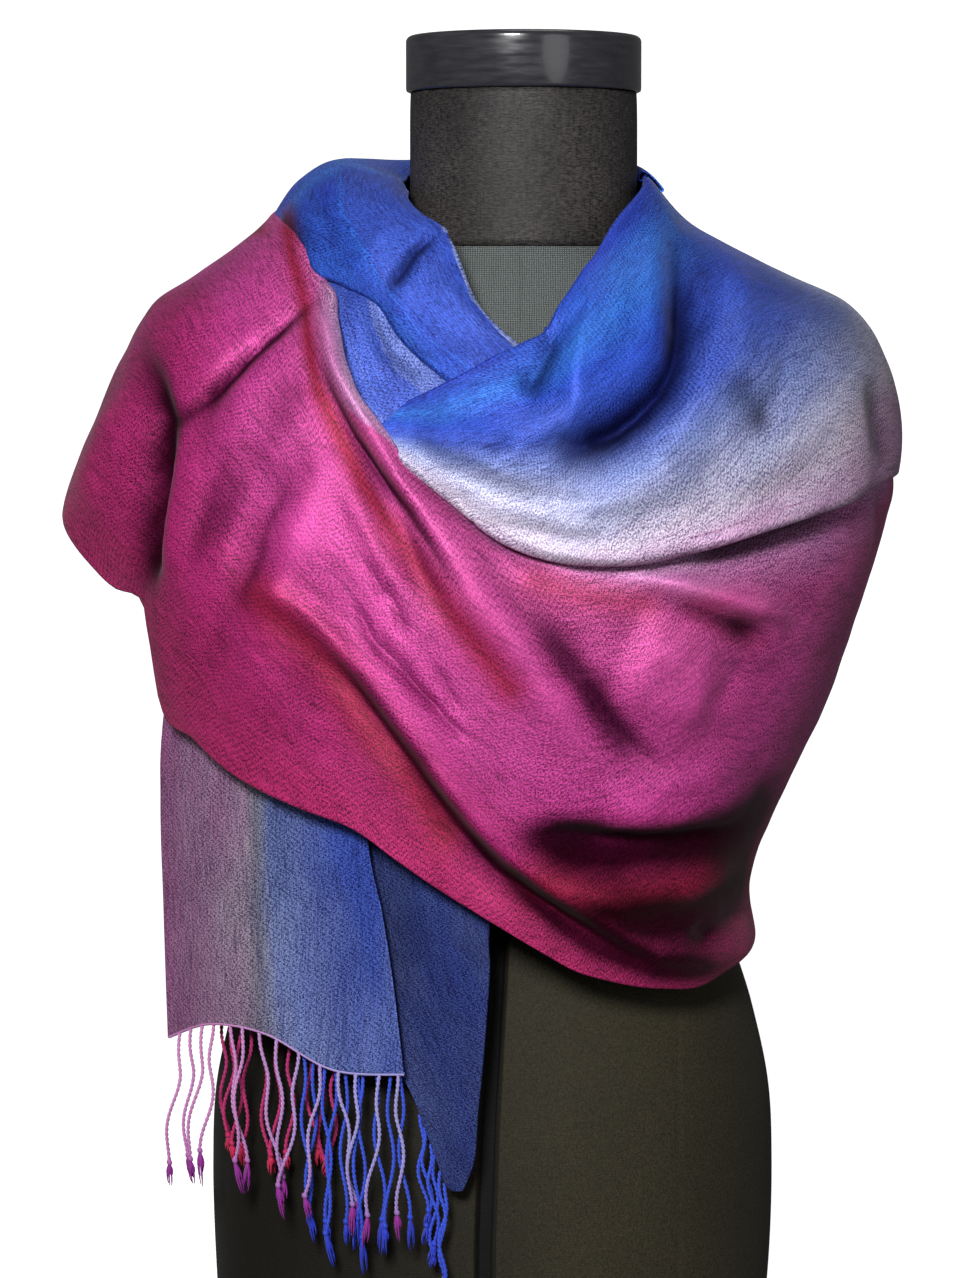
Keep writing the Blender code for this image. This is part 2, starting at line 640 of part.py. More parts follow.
def inner_fold_offset(along, across):
    """The inner turn lies under the collar, and dives behind the neckline's corner."""
    depth, dive = -3.9, -6.6
    return depth + dive * soft_step(along, 0.2, 0.7)


def collar_offset(along, across):
    """The collar stands up behind the neck, and its front end goes under the swag."""
    lift, behind_neck, crown, under_edge, under_swag = 1.0, 2.2, 1.5, -2.8, -7.0
    return (lift + behind_neck * soft_step(along, 0.5, 0.3)
            + crown * np.sin(math.pi * across) * soft_step(along, 0.3, 0.6)
            + under_edge * soft_step(across, 0.2, 0.0) * soft_step(along, 0.78, 0.68)
            + under_swag * soft_step(along, 0.80, 0.95))


def back_wrap_offset(along, across):
    """The back stretch starts under the swag and the front wrap, and ends under the throw."""
    surface, under_front, under_throw = -0.4, -6.8, -0.4
    return (surface + under_front * soft_step(along, 0.18, 0.05)
            + under_throw * soft_step(along, 0.82, 0.97))


def swag_offset(along, across):
    """The swag stands off in front, least at the shoulder and at its tucked-in end."""
    surface, at_shoulder, in_front, rim = -0.4, 0.6, 4.4, 1.2
    lift = at_shoulder + in_front * soft_step(along, 0.10, 0.36)
    return (surface + lift * soft_step(along, 0.92, 0.5)
            + rim * soft_step(across, 0.3, 0.0) * soft_step(along, 0.9, 0.6))


def front_wrap_offset(along, across):
    """The upper edge of the front wrap goes under the swag."""
    surface, under_swag = -0.3, -2.7
    return surface + under_swag * soft_step(across, 0.14, 0.03) * soft_step(along, 0.62, 0.45)


def throw_offset(along, across):
    surface, over_shoulder = -0.3, 2.3
    return (surface + over_shoulder * soft_step(along, 0.0, 0.35)
            + sleeve_flare(across) * soft_step(along, 0.0, 0.75))


def back_tail_offset(along, across):
    start, over_back = 2.0, 6.5
    return (start + over_back * soft_step(along, 0.0, 0.15)
            + sleeve_flare(across) * soft_step(along, 0.13, 0.0))


def scarf_stretches():
    """Lay the stretches round the form, and return the outer grid of the back end."""
    draped("scarf_inner_fold", INNER_FOLD, (9, 6), "periwinkle", (), inner_fold_offset)
    draped("scarf_collar", COLLAR, (32, 7), "blue", (), collar_offset, BACK_FOLDS)
    draped("scarf_back_wrap", BACK_WRAP, (24, 14), "magenta", (), back_wrap_offset, BACK_FOLDS)
    draped("scarf_cowl", COWL, (34, 13), "blue", SWAG_FOLDS, swag_offset)
    second_turn = FRONT_WRAP + SHOULDER_THROW + BACK_TAIL
    front_seam = len(FRONT_WRAP) - 1
    back_seam = front_seam + len(SHOULDER_THROW)
    over_back = BACK_FOLDS + BACK_TAIL_FOLDS
    draped("scarf_front_wrap", second_turn, (46, 21), "magenta", WRAP_FOLDS, front_wrap_offset,
           (), (0, front_seam - FRONT_SEAM[0]))
    draped("scarf_shoulder_throw", second_turn, (8, 19), "magenta", WRAP_FOLDS, throw_offset,
           over_back, (front_seam + FRONT_SEAM[1], back_seam - BACK_SEAM[0]))
    return draped("scarf_back_tail", second_turn, (18, 15), "magenta", (), back_tail_offset,
                  over_back, (back_seam + BACK_SEAM[1], len(second_turn) - 1))[1]


def hanging_ends():
    tail = hanging("scarf_front_tail", FRONT_TAIL, (14, 16), "lavender", 1.6)[1]
    turn = hanging("scarf_tail_turn", TAIL_TURN, (16, 7), "blue")[1]
    behind = hanging("scarf_tail_behind", TAIL_BEHIND, (10, 8), "magenta")[1]
    return tail, turn, behind


def fringes(tail, turn, behind, back):
    end = tail[-1]
    comb("fringe_back", back[-1], even_roots(BACK_STRANDS, 0.02, 0.98),
         uneven(BACK_STRANDS, 66, 6, 0.9), swaying(BACK_STRANDS, 1.7, 1.2, 1.0), "mauve")
    comb("fringe_front_lavender", end[:TAIL_CUT + 1], even_roots(LAVENDER_STRANDS),
         uneven(LAVENDER_STRANDS, 66, 5, 0.4), swaying(LAVENDER_STRANDS, 0.3), "lavender")
    comb("fringe_front_blue", end[TAIL_CUT + 1:], even_roots(BLUE_STRANDS),
         uneven(BLUE_STRANDS, 72, 7, 1.4), swaying(BLUE_STRANDS, 1.1, 2.0), "blue")
    comb("fringe_front_magenta", behind[-1], even_roots(MAGENTA_STRANDS, 0.3, 0.97),
         uneven(MAGENTA_STRANDS, 58, 6, 2.0), swaying(MAGENTA_STRANDS, 2.0, 2.5), "magenta")
    corner = turn[-4:, 0] + np.array([-0.6, 0, 0])
    comb("fringe_front_corner", corner, even_roots(CORNER_STRANDS, 0.1, 0.93),
         uneven(CORNER_STRANDS, 50, 3, 0.2), swaying(CORNER_STRANDS, 0.5, 1.5), "blue")


def main():
    clear_scene()
    dress_form()
    back = scarf_stretches()
    tail, turn, behind = hanging_ends()
    fringes(tail, turn, behind, back)


main()
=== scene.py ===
import math
import random

import bpy
import numpy as np
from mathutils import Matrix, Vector, noise


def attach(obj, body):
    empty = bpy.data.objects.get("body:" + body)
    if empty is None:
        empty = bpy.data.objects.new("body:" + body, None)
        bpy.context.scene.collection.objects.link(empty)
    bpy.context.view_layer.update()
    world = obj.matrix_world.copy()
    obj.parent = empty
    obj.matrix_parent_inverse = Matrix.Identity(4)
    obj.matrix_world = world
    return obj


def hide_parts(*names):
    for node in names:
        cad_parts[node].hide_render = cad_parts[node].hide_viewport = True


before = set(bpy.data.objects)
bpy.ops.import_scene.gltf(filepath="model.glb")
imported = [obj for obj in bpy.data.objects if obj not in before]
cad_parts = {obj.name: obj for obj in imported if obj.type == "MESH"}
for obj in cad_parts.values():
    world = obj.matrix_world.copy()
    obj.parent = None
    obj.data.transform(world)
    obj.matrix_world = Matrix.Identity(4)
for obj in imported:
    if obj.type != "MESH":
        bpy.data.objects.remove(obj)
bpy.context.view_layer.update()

MM = 0.001
EYE = np.array([-17.0, -2200.0, 579.0])   # the place that the front outline is taken from
SQUARENESS = 2.35     # 2 is an ellipse, more is a rounder rectangle

# The worn cloth is laid on a shell of rings, from the neck edge down to below the hems.
# Each ring passes through one named place on each side.
# left_x, left_z, right_x, right_z, front_y, front_z, back_y, back_z
RINGS = (
    (-60, 654, 58.6, 654, -66, 640, 68, 668),
    (-90, 660, 64, 651, -78, 627, 80, 655),
    (-111, 650, 82, 632, -91, 611, 92, 638),
    (-135, 625, 105, 619, -105, 594, 104, 618),
    (-163, 605, 136, 604, -117, 577, 113, 598),
    (-187, 588, 165, 590, -129, 557, 120, 575),
    (-197.5, 560, 183, 563, -140, 530, 126, 545),
    (-202, 524, 190.5, 526, -147, 498, 129, 508),
    (-206, 481, 183.5, 483, -151, 463, 130, 470),
    (-201, 438, 170, 440, -152, 426, 129, 430),
    (-192, 392, 153.5, 392, -150, 385, 127, 388),
    (-181, 350, 135, 352, -147, 345, 125, 346),
    (-173, 310, 115.5, 303, -142, 305, 122, 305),
    (-166, 268, 118, 266, -136, 264, 119, 262),
    (-160, 226, 110, 226, -130, 222, 116, 220),
    (-156, 186, 106, 186, -126, 182, 113, 180),
)

# The dress form: height, left, right, front and back of each level.
FORM_LEVELS = (
    (0, -150, 117.5, -100, 96),
    (60, -155, 122.5, -105, 101),
    (110, -158, 126.5, -108, 100),
    (155, -159, 127.5, -109, 101),
    (195, -157, 125.5, -107, 99),
    (235, -148, 117, -102, 95),
    (285, -134, 103, -96, 92),
    (340, -130, 102, -100, 92),
    (400, -138, 114, -112, 96),
    (460, -146, 128, -118, 100),
    (515, -152, 137, -112, 100),
    (555, -151.5, 150, -99.5, 92),
    (580, -132, 142, -85, 82),
    (600, -100, 112, -73, 72),
    (614, -66, 72, -63, 63),
    (619.5, -59, 59, -59, 59),
)
NECK_RADIUS = 57.5
NECK_BOTTOM = 620.0
NECK_TOP = 697.5
CAP_RADIUS = 59.5
CAP_TOP = 726.0
CAP_ROUND = 3.0
PART_GAP = 0.4
SLEEVE_FLARE = 26     # how far the corner over the left arm stands out
FRONT_FADE = (0.05, 0.35)   # over these sines of the angle the front's folds come in
BACK_FADE = (0.25, 0.50)    # and the back's folds, behind
COLOUR_FADE = (0.05, 0.45)  # and the front's colours
FACING_GAIN = 2.2     # how soon a listed painted shade is full, as the shell turns to the front

# A place given as a bare pair is x and z as seen from the eye, in the plane of the
# neck. "back" is square on from behind, and "ring" is an angle and a ring.
COLLAR = (
    (("ring", -5, 0.1), ("ring", -5, 1.3)),
    (("ring", -45, 0.0), ("ring", -45, 1.5)),
    (("ring", -90, 0.0), ("ring", -90, 1.8)),
    (("ring", -135, 0.0), ("ring", -135, 2.1)),
    (("ring", -160, 0.0), ("ring", -160, 2.3)),
    (("ring", -178, 0.1), ("ring", -180, 2.4)),
    ((-57, 650), (-122, 639)),
    ((-47, 633), (-112, 622)),
    ((-39, 624), (-105, 608)),
    ((-32, 609), (-91, 602)),
    ((-23, 591), (-73, 593)),
    ((-11, 580), (-63, 579)),
    ((0, 571), (-48, 565)),
    ((10, 556), (-34, 553)),
)
INNER_FOLD = (
    ((-105, 606), (-89, 606)),
    ((-102, 584), (-66, 598)),
    ((-97, 563), (-48, 578)),
    ((-88, 544), (-26, 563)),
    ((-74, 529), (-12, 551)),
)
COWL = (
    (("ring", -12, 0.9), ("ring", -12, 4.2), ("ring", -12, 7.5)),
    (("ring", 6, 0.8), ("ring", 6, 4.4), (183, 503)),
    ((60, 648), (121, 584), (157, 492)),
    ((50, 635), (98, 571), (136, 485)),
    ((41, 621), (84, 553), (113, 477)),
    ((33, 607), (71, 539), (90, 468)),
    ((26, 597), (56, 529), (64, 461)),
    ((18, 586), (38, 524), (39, 459)),
    ((11, 575), (19, 524), (14, 462)),
    ((0, 570), (0, 529), (-12, 473)),
    ((-14, 564), (-20, 531), (-35, 491)),
    ((-29, 556), (-38, 533), (-51, 504)),
    ((-45, 548), (-54, 534), (-66, 517)),
    ((-60, 541), (-68, 534), (-77, 526)),
)
FRONT_WRAP = (
    (("ring", -12, 7.2), ("ring", -12, 10), ("ring", -12, 12.6)),
    (("ring", 3, 7.2), ("ring", 5, 10), (118, 266)),
    ((155, 500), (133, 388), (104, 250)),
    ((134, 493), (114, 376), (90, 242)),
    ((111, 485), (96, 366), (75, 241)),
    ((89, 475), (78, 359), (60, 242)),
    ((64, 466), (58, 355), (44, 245)),
    ((39, 462), (36, 355), (27, 250)),
    ((14, 460), (13, 358), (9, 260)),
    ((-12, 471), (-12, 368), (-9, 271)),
    ((-34, 488), (-34, 383), (-27, 282)),
    ((-49, 501), (-55, 400), (-46, 294)),
    ((-62, 514), (-74, 416), (-66, 308)),
    ((-72, 528), (-92, 433), (-88, 324)),
    ((-82, 541), (-108, 450), (-112, 333)),
    ((-88, 555), (-123, 468), (-134, 343)),
    ((-93, 573), (-139, 488), (-153, 355)),
    ((-96, 586), (-153, 506), (-169, 370)),
    ((-98, 595), (-166, 518), (-184, 384)),
    ((-101, 600), (-175, 527), (-193, 437)),
)
SHOULDER_THROW = (
    ((-108, 609), (-182, 534), ("ring", 163, 8.66)),
    ((-112.5, 618.5), (-188, 543), ("ring", 169, 8.31)),
    ((-119.2, 627.0), (-193, 554), ("ring", 175, 8.02)),
    (("ring", 181, 2.64), ("ring", 181, 5.3), ("ring", 181, 7.85)),
    (("ring", 191, 2.6), ("ring", 191, 5.3), ("ring", 191, 8.0)),
)
BACK_WRAP = (
    (("ring", -8, 0.9), ("ring", -8, 6.5), ("ring", -8, 12.8)),
    (("ring", -30, 0.6), ("ring", -30, 6.3), ("ring", -30, 12.5)),
    (("ring", -55, 0.4), ("ring", -55, 6.0), ("ring", -55, 11.8)),
    (("ring", -80, 0.4), ("ring", -80, 5.7), ("ring", -80, 11.0)),
    (("ring", -105, 0.4), ("ring", -105, 5.4), ("ring", -105, 10.1)),
    (("ring", -130, 0.5), ("ring", -130, 5.0), ("ring", -130, 9.2)),
    (("ring", -152, 0.9), ("ring", -152, 4.6), ("ring", -152, 8.3)),
    (("ring", -166, 1.8), ("ring", -166, 4.4), ("ring", -166, 7.2)),
)
BACK_TAIL = (
    (("ring", 222, 2.4), ("back", -174, 535), ("ring", 203, 8.35)),
    (("back", -48, 585), ("back", -138, 470), ("ring", 208, 9.9)),
    (("back", -40, 505), ("back", -112, 405), ("back", -165, 340)),
    (("back", -34, 415), ("back", -98, 335), ("back", -152, 290)),
    (("back", -31, 320), ("back", -90, 270), ("back", -142, 245)),
    (("back", -29, 212), ("back", -85, 206), ("back", -136, 200)),
)

# The hanging end A in front: x and z as seen from the eye, and the depth y.
FRONT_TAIL = (
    ((-142, 588, -41), (-128, 592, -51), (-114, 594, -59), (-102, 596, -66), (-90, 598, -72)),
    ((-168, 490, -44), (-152, 490, -69), (-132, 490, -91), (-110, 490, -107), (-88, 490, -118)),
    ((-183, 383, -52), (-160, 383, -80), (-135, 383, -101), (-108, 383, -115), (-84, 383, -124)),
    ((-185, 338, -54), (-163, 334, -82), (-136, 328, -102), (-107, 320, -116), (-79, 315, -125)),
    ((-184, 290, -55), (-162, 290, -81), (-135, 288, -102), (-103, 284, -116), (-72, 280, -126)),
    ((-183, 250, -55), (-161, 252, -82), (-133, 250, -102), (-99, 242, -116), (-66, 240, -126)),
    ((-182, 216, -56), (-160, 223, -82), (-132, 218, -102), (-98, 199, -117), (-61, 197, -126)),
)
TAIL_TURN = (
    ((-108, 383, -112.9), (-58, 383, -125), (-10, 383, -128)),
    ((-98, 315, -111), (-55, 300, -124), (-17, 276, -127)),
    ((-88, 262, -111), (-50, 252, -123), (-17, 250, -126)),
    ((-72, 214, -116), (-46, 212, -122), (-20, 207, -125)),
    ((-58, 188, -119), (-40, 182, -122), (-23, 177, -124)),
    ((-48, 162, -120), (-36, 157, -122), (-25, 152, -123)),
    ((-40, 139, -121), (-36, 136, -121), (-31, 136, -122)),
)
TAIL_BEHIND = (
    ((-176, 410, -51.5), (-134, 410, -96.5), (-97, 410, -111)),
    ((-178, 383, -44), (-134, 383, -88), (-96, 383, -102)),
    ((-178, 300, -46), (-134, 300, -89), (-94, 300, -103)),
    ((-177, 222, -48), (-133, 221, -90), (-92, 210, -105)),
)

# Folds of the front: rise, width on the upper side, width on the lower side, and the
# path of the crest as seen from the eye. A small width on one side makes an overhang.
SWAG_FOLDS = (
    (-7, 12, 12, ((78, 622), (81, 603), (79, 577), (70, 555), (57, 534), (36, 517), (15, 511))),
    (-4, 8, 10, ((-55, 535), (-30, 527), (-3, 518))),
    (7, 22, 14, ((50, 610), (44, 585), (38, 565), (24, 552), (0, 548))),
    (5, 20, 12, ((120, 590), (115, 555), (95, 525), (66, 502), (30, 490), (-10, 494))),
    (6, 16, 4, ((178, 505), (136, 487), (90, 470), (62, 463), (38, 461), (13, 465), (-12, 477))),
    (-4, 10, 14, ((113, 560), (104, 535), (92, 518), (70, 508))),
)
WRAP_FOLDS = (
    (7, 7, 9, ((-101, 594), (-101, 582), (-97, 562), (-89, 546), (-78, 528), (-67, 506))),
    (6, 12, 16, ((-67, 506), (-50, 480), (-22, 440), (-1, 418), (20, 392), (36, 365), (40, 348))),
    (-6, 7, 10, ((-92, 545), (-76, 507), (-53, 461), (-35, 431))),
    (-6, 10, 14, ((5, 436), (22, 407), (40, 384), (60, 358), (70, 341))),
    (6, 9, 12, ((62, 450), (89, 443), (120, 438), (138, 428))),
    (-6, 8, 9, ((62, 449), (96, 436), (129, 423))),
    (6, 38, 34, ((50, 415), (80, 402), (102, 392))),
    (7, 26, 8, ((122, 347), (105, 334), (88, 328), (70, 325), (38, 327))),
    (-7, 6, 12, ((12, 322), (40, 318), (80, 317), (115, 322))),
    (6, 14, 4, ((-113, 441), (-90, 413), (-73, 392), (-49, 361), (-26, 329), (-9, 311),
                (12, 294), (32, 281), (56, 265), (72, 257), (90, 255), (104, 257))),
    (-4, 5, 10, ((-60, 358), (-38, 325), (-15, 300), (12, 284), (44, 264))),
    (-4, 6, 8, ((-106, 590), (-122, 582), (-139, 567), (-163, 541), (-178, 527))),
    (5, 18, 22, ((-120, 560), (-150, 500), (-165, 450), (-172, 410))),
    (4, 14, 14, ((-100, 500), (-128, 440), (-140, 400), (-150, 372))),
    (-4, 12, 12, ((-105, 530), (-135, 470), (-150, 420))),
    (-5, 7, 7, ((-176, 528), (-183, 500), (-189, 462), (-193, 440))),
    (4, 16, 16, ((-198, 545), (-205, 515), (-212, 480))),
)
# The back's folds, with x and z square on from behind.
BACK_FOLDS = (
    (5, 16, 22, ((110, 400), (40, 430), (-40, 500), (-110, 570))),
    (-5, 14, 14, ((120, 340), (50, 380), (-30, 450), (-100, 530))),
    (5, 18, 20, ((110, 480), (50, 500), (-20, 555), (-80, 610))),
    (-4, 14, 16, ((130, 440), (60, 465), (-30, 525), (-95, 590))),
    (4, 16, 12, ((60, 600), (20, 590), (-30, 610))),
    (4, 16, 16, ((110, 300), (60, 325), (0, 385))),
)
BACK_TAIL_FOLDS = (
    (6, 12, 14, ((-146, 530), (-130, 480), (-112, 380), (-106, 280), (-104, 205))),
    (-5, 11, 12, ((-106, 530), (-98, 500), (-84, 380), (-78, 280), (-76, 208))),
    (5, 11, 11, ((-72, 530), (-66, 500), (-58, 380), (-54, 280), (-52, 210))),
    (-5, 12, 12, ((-185, 520), (-160, 430), (-140, 330), (-132, 250), (-128, 204))),
)

CAMERA_LENS = 121.8
CAMERA_TILT = 4.11     # degrees below level

# The back stretch starts where the swag and the front wrap stop, at the right side.
BACK_COVER = ((("ring", -12, 0.9), ("ring", -12, 6.5), ("ring", -12, 12.6)),) + BACK_WRAP[1:]
# The collar reaches a little under the shoulder throw, so that no light shows between.
COLLAR_COVER = COLLAR[:4] + (
    (("ring", -160, 0.0), ("ring", -160, 2.75)),
    (("ring", -178, 0.1), ("ring", -180, 3.0)),
    ((-57, 650), (-122.4, 635)),
    ((-47, 633), (-113.5, 619)),
) + COLLAR[8:]
# The share of the cloth's width at each ring of the shell, for the sides and the back.
RING_SHARES = ((0, 0.0), (2, 0.06), (4.2, 0.15), (6, 0.21), (7.4, 0.255), (8.4, 0.33),
               (10, 0.55), (12.6, 1.0))
INNER_SHARES = ((0.125, ((-98, 599), (-95, 574), (-88, 551), (-73, 538))),
                (0.13, ((-91, 602), (-87, 576), (-80, 557), (-67, 543))),
                (0.138, ((-82, 604), (-77, 581), (-67, 563), (-50, 547))),
                (0.12, ((-70, 602), (-63, 581), (-47, 566), (-27, 553))))
COLLAR_SHARES = ((0.01, ((-12, 579), (-27, 594), (-39, 625), (-54, 645), (-60, 660))),
                 (0.07, ((-27, 561), (-53, 579), (-73, 604), (-91, 637), (-93, 663))),
                 (0.15, ((-37, 543), (-73, 579), (-104, 609), (-121, 637), (-126, 650))))

# The creases that only show close by, given as the large folds are.
FINE_WRAP_FOLDS = (
    (-9.0, 5, 9, ((78, 461), (90, 464), (103, 469), (125, 475), (151, 486), (176, 497))),
    (-4.0, 3.5, 4.5, ((-71, 524), (-58, 506), (-37, 489), (-12, 470), (20, 457))),
    (3.6, 5, 6, ((49, 456), (88, 445), (120, 435), (139, 427))),
    (-2.4, 6, 8, ((60, 446), (96, 433), (129, 421))),
    (-3.5, 4, 4, ((183, 498), (183, 471), (179, 449))),
    (-2.4, 2.5, 4, ((-103, 592), (-117, 586), (-130, 576), (-154, 554), (-178, 528))),
    (0.7, 10, 6, ((-111, 596), (-122, 590), (-135, 581), (-158, 561), (-181, 535))),
    (-6.0, 5, 6, ((-194, 574), (-184, 551), (-181, 534), (-184, 513), (-187, 484), (-191, 445))),
    (3.0, 9, 9, ((-199, 561), (-202, 533), (-208, 505), (-212, 482))),
    (4.0, 5, 9, ((-172, 530), (-176, 507), (-180, 482), (-183, 451))),
    (-3.6, 12, 13, ((-116, 567), (-132, 528), (-146, 491), (-168, 455))),
    (3.0, 12, 12, ((-100, 523), (-114, 492), (-130, 461))),
    (3.2, 6, 7, ((-148, 448), (-126, 445), (-110, 433), (-95, 417), (-80, 396))),
    (3.0, 5, 5.5, ((-101, 598), (-98, 574), (-92, 552), (-80, 528), (-64, 502), (-47, 477))),
    (-3.6, 3, 4, ((-105, 579), (-96, 547), (-85, 525), (-73, 507), (-58, 487), (-42, 461),
                  (-27, 436))),
    (-3.2, 4, 7, ((-114, 435), (-93, 408), (-77, 384), (-53, 352), (-29, 323), (-12, 304),
                  (19, 282), (53, 260), (74, 253))),
    (-2.0, 8, 8, ((-27, 469), (-9, 446), (10, 421), (29, 399), (47, 377), (66, 361),
                  (85, 353))),
    (-4.6, 9, 13, ((-9, 316), (19, 319), (49, 316), (85, 323), (116, 336), (135, 351))),
    (3.0, 8, 8, ((19, 296), (49, 288), (85, 294), (113, 309))),
    (-2.4, 2.2, 3, ((-86, 441), (-77, 421), (-67, 406))),
    (-2.2, 2, 3, ((-74, 427), (-64, 406), (-50, 390))),
    (-2.4, 2.2, 3, ((-64, 414), (-53, 395), (-39, 382))),
    (-2.0, 2, 3, ((-53, 395), (-39, 379), (-27, 369))),
    (-2.0, 2, 2.6, ((-71, 451), (-64, 436), (-61, 421))),
    (-2.0, 2, 2.6, ((-80, 463), (-74, 449), (-71, 435))),
    (-1.8, 2, 2.6, ((-46, 410), (-38, 395), (-32, 382))),
    (1.6, 5, 6, ((-93, 507), (-77, 469), (-53, 436))),
    (-1.6, 5, 6, ((-139, 579), (-157, 543), (-170, 507))),
    (1.4, 6, 7, ((-162, 533), (-171, 492), (-177, 451))),
    (-1.3, 4, 5, ((-147, 523), (-162, 482), (-172, 441))),
    (1.2, 5, 5, ((-137, 507), (-148, 472), (-157, 436))),
    (-1.1, 4, 5, ((-121, 502), (-133, 469), (-144, 441))),
    (-1.5, 5, 7, ((48, 344), (70, 339), (96, 342), (120, 354))),
    (1.3, 6, 7, ((60, 390), (90, 382), (117, 387))),
    (-1.4, 6, 6, ((85, 421), (107, 406), (136, 404))),
    (1.5, 5, 6, ((65, 421), (84, 404), (90, 380))),
    (-1.8, 4, 6, ((19, 288), (49, 277), (80, 270))),
    (1.4, 5, 5, ((70, 285), (90, 292), (112, 304))),
    (-1.6, 4, 5, ((113, 285), (105, 275), (90, 269))),
    (-2.2, 5, 6, ((88, 275), (92, 270), (96, 266))),
)
FINE_SWAG_FOLDS = (
    (5.0, 10, 3.5, ((78, 463), (103, 471), (125, 479), (151, 489), (179, 501))),
    (-5.0, 8, 9, ((75, 638), (77, 594), (77, 560), (70, 545), (48, 528), (19, 518),
                  (-2, 514))),
    (4.0, 9, 9, ((60, 632), (66, 599), (66, 571), (53, 551), (24, 533), (-12, 525))),
    (3.2, 6, 6, ((34, 594), (28, 571), (26, 551), (22, 533))),
    (-3.2, 8, 7, ((22, 581), (11, 562), (1, 543))),
    (-1.8, 4, 4, ((33, 585), (28, 581), (24, 575))),
    (-2.6, 9, 9, ((106, 556), (117, 540), (127, 525))),
    (2.2, 12, 12, ((98, 609), (103, 574), (96, 543))),
    (-3.5, 4, 6, ((175, 558), (178, 533), (182, 505))),
    (-2.2, 6, 7, ((-65, 534), (-42, 519), (-12, 507), (19, 503))),
    (2.4, 8, 8, ((-63, 523), (-37, 503), (-7, 486), (29, 477), (65, 479))),
    (-1.8, 5, 6, ((90, 622), (94, 594), (90, 568))),
    (1.4, 6, 6, ((106, 612), (112, 579), (105, 548))),
    (-1.4, 5, 6, ((129, 571), (126, 543), (113, 523))),
    (-1.3, 6, 6, ((19, 571), (11, 553), (-2, 543))),
    (1.5, 6, 7, ((39, 579), (35, 553), (24, 533))),
    (1.2, 5, 6, ((-37, 507), (-2, 492), (39, 488), (80, 497))),
    (-1.2, 5, 6, ((-12, 482), (19, 472), (49, 472))),
    (1.1, 6, 6, ((121, 507), (141, 523), (162, 543))),
    (-1.1, 5, 6, ((100, 492), (131, 503), (167, 523))),
)
COLLAR_FOLDS = (
    (-3.6, 3, 4, ((-43, 626), (-55, 617), (-62, 607), (-71, 597))),
    (1.8, 5, 7, ((-65, 632), (-77, 617), (-87, 607))),
    (1.6, 5, 5, ((-47, 607), (-35, 594), (-17, 579))),
    (-1.4, 4, 4, ((-109, 645), (-98, 632), (-93, 617))),
    (-1.2, 4, 5, ((-60, 594), (-42, 581), (-27, 568))),
)
INNER_FOLD_FOLDS = (
    (1.4, 5, 5, ((-88, 594), (-82, 576), (-70, 558))),
    (-1.4, 4, 4, ((-77, 594), (-67, 574), (-53, 557))),
)

# Painted shade where the cloth is darker in its hollows, or below 0 painted highlight where
# it is brighter on its ridges: how much, width on the upper side, width on the lower side
# and the path, as the folds are given.
WRAP_SHADES = (
    (0.75, 5, 9, ((6, 285), (39, 266), (67, 254), (103, 252), (117, 261))),
    (0.45, 24, 20, ((141, 339), (132, 319), (122, 298), (119, 273))),
    (0.75, 12, 13, ((19, 285), (49, 280), (85, 285), (117, 304))),
    (0.6, 9.6, 10.8, ((-195, 579), (-184, 551), (-181, 534), (-184, 513), (-187, 484), (-190, 441))),
    (0.37, 15.6, 20.4, ((-116, 566), (-133, 528), (-146, 491), (-167, 451))),
    (0.27, 9.6, 10.8, ((-201, 568), (-213, 543), (-222, 523), (-232, 489))),
    (0.27, 7.2, 7.2, ((-181, 523), (-185, 477), (-189, 421), (-183, 384))),
    (0.39, 15.6, 10.8, ((-139, 624), (-162, 608), (-183, 596), (-196, 576))),
    (0.57, 3.6, 4.8, ((-106, 583), (-96, 547), (-85, 525), (-73, 507), (-58, 487), (-42, 461),
                  (-27, 436))),
    (0.3, 7.2, 8.4, ((-29, 472), (-9, 446), (10, 421), (29, 399), (47, 377), (66, 361),
                   (85, 353))),
    (0.57, 2.6, 3.6, ((-103, 592), (-117, 586), (-130, 576), (-154, 554), (-179, 528))),
    (1.2, 10, 17, ((-17, 316), (19, 319), (49, 316), (85, 323), (116, 336), (139, 354))),
    (0.72, 24, 17, ((-12, 298), (9, 288), (39, 273), (80, 262), (115, 273))),
    (0.2, 8.4, 9.6, ((58, 447), (96, 434), (130, 420))),
    (0.24, 15.6, 15.6, ((184, 466), (169, 421), (152, 380), (137, 351))),
    (0.48, 7.2, 8.4, ((119, 307), (107, 293), (94, 277), (82, 262))),
    (0.65, 4, 8, ((-133, 446), (-99, 432), (-84, 407), (-62, 376), (-40, 345), (-18, 314),
                   (10, 289), (38, 270), (66, 256), (105, 254))),
    (0.65, 14, 14, ((136, 349), (125, 317), (113, 298), (117, 268))),
    (-0.07, 14.4, 12, ((-114, 594), (-133, 576), (-154, 557), (-170, 539))),
    (-0.27, 19.2, 19.2, ((-96, 528), (-111, 487), (-130, 449))),
    (-0.27, 14.4, 16.8, ((-35, 456), (-6, 418), (19, 384), (35, 354))),
    (-0.27, 31.2, 31.2, ((60, 416), (98, 390), (123, 395))),
    (-0.42, 7.2, 7.2, ((-99, 596), (-95, 571), (-88, 548), (-74, 525), (-59, 500))),
    (-0.36, 7.2, 8.4, ((39, 455), (85, 446), (123, 435))),
)
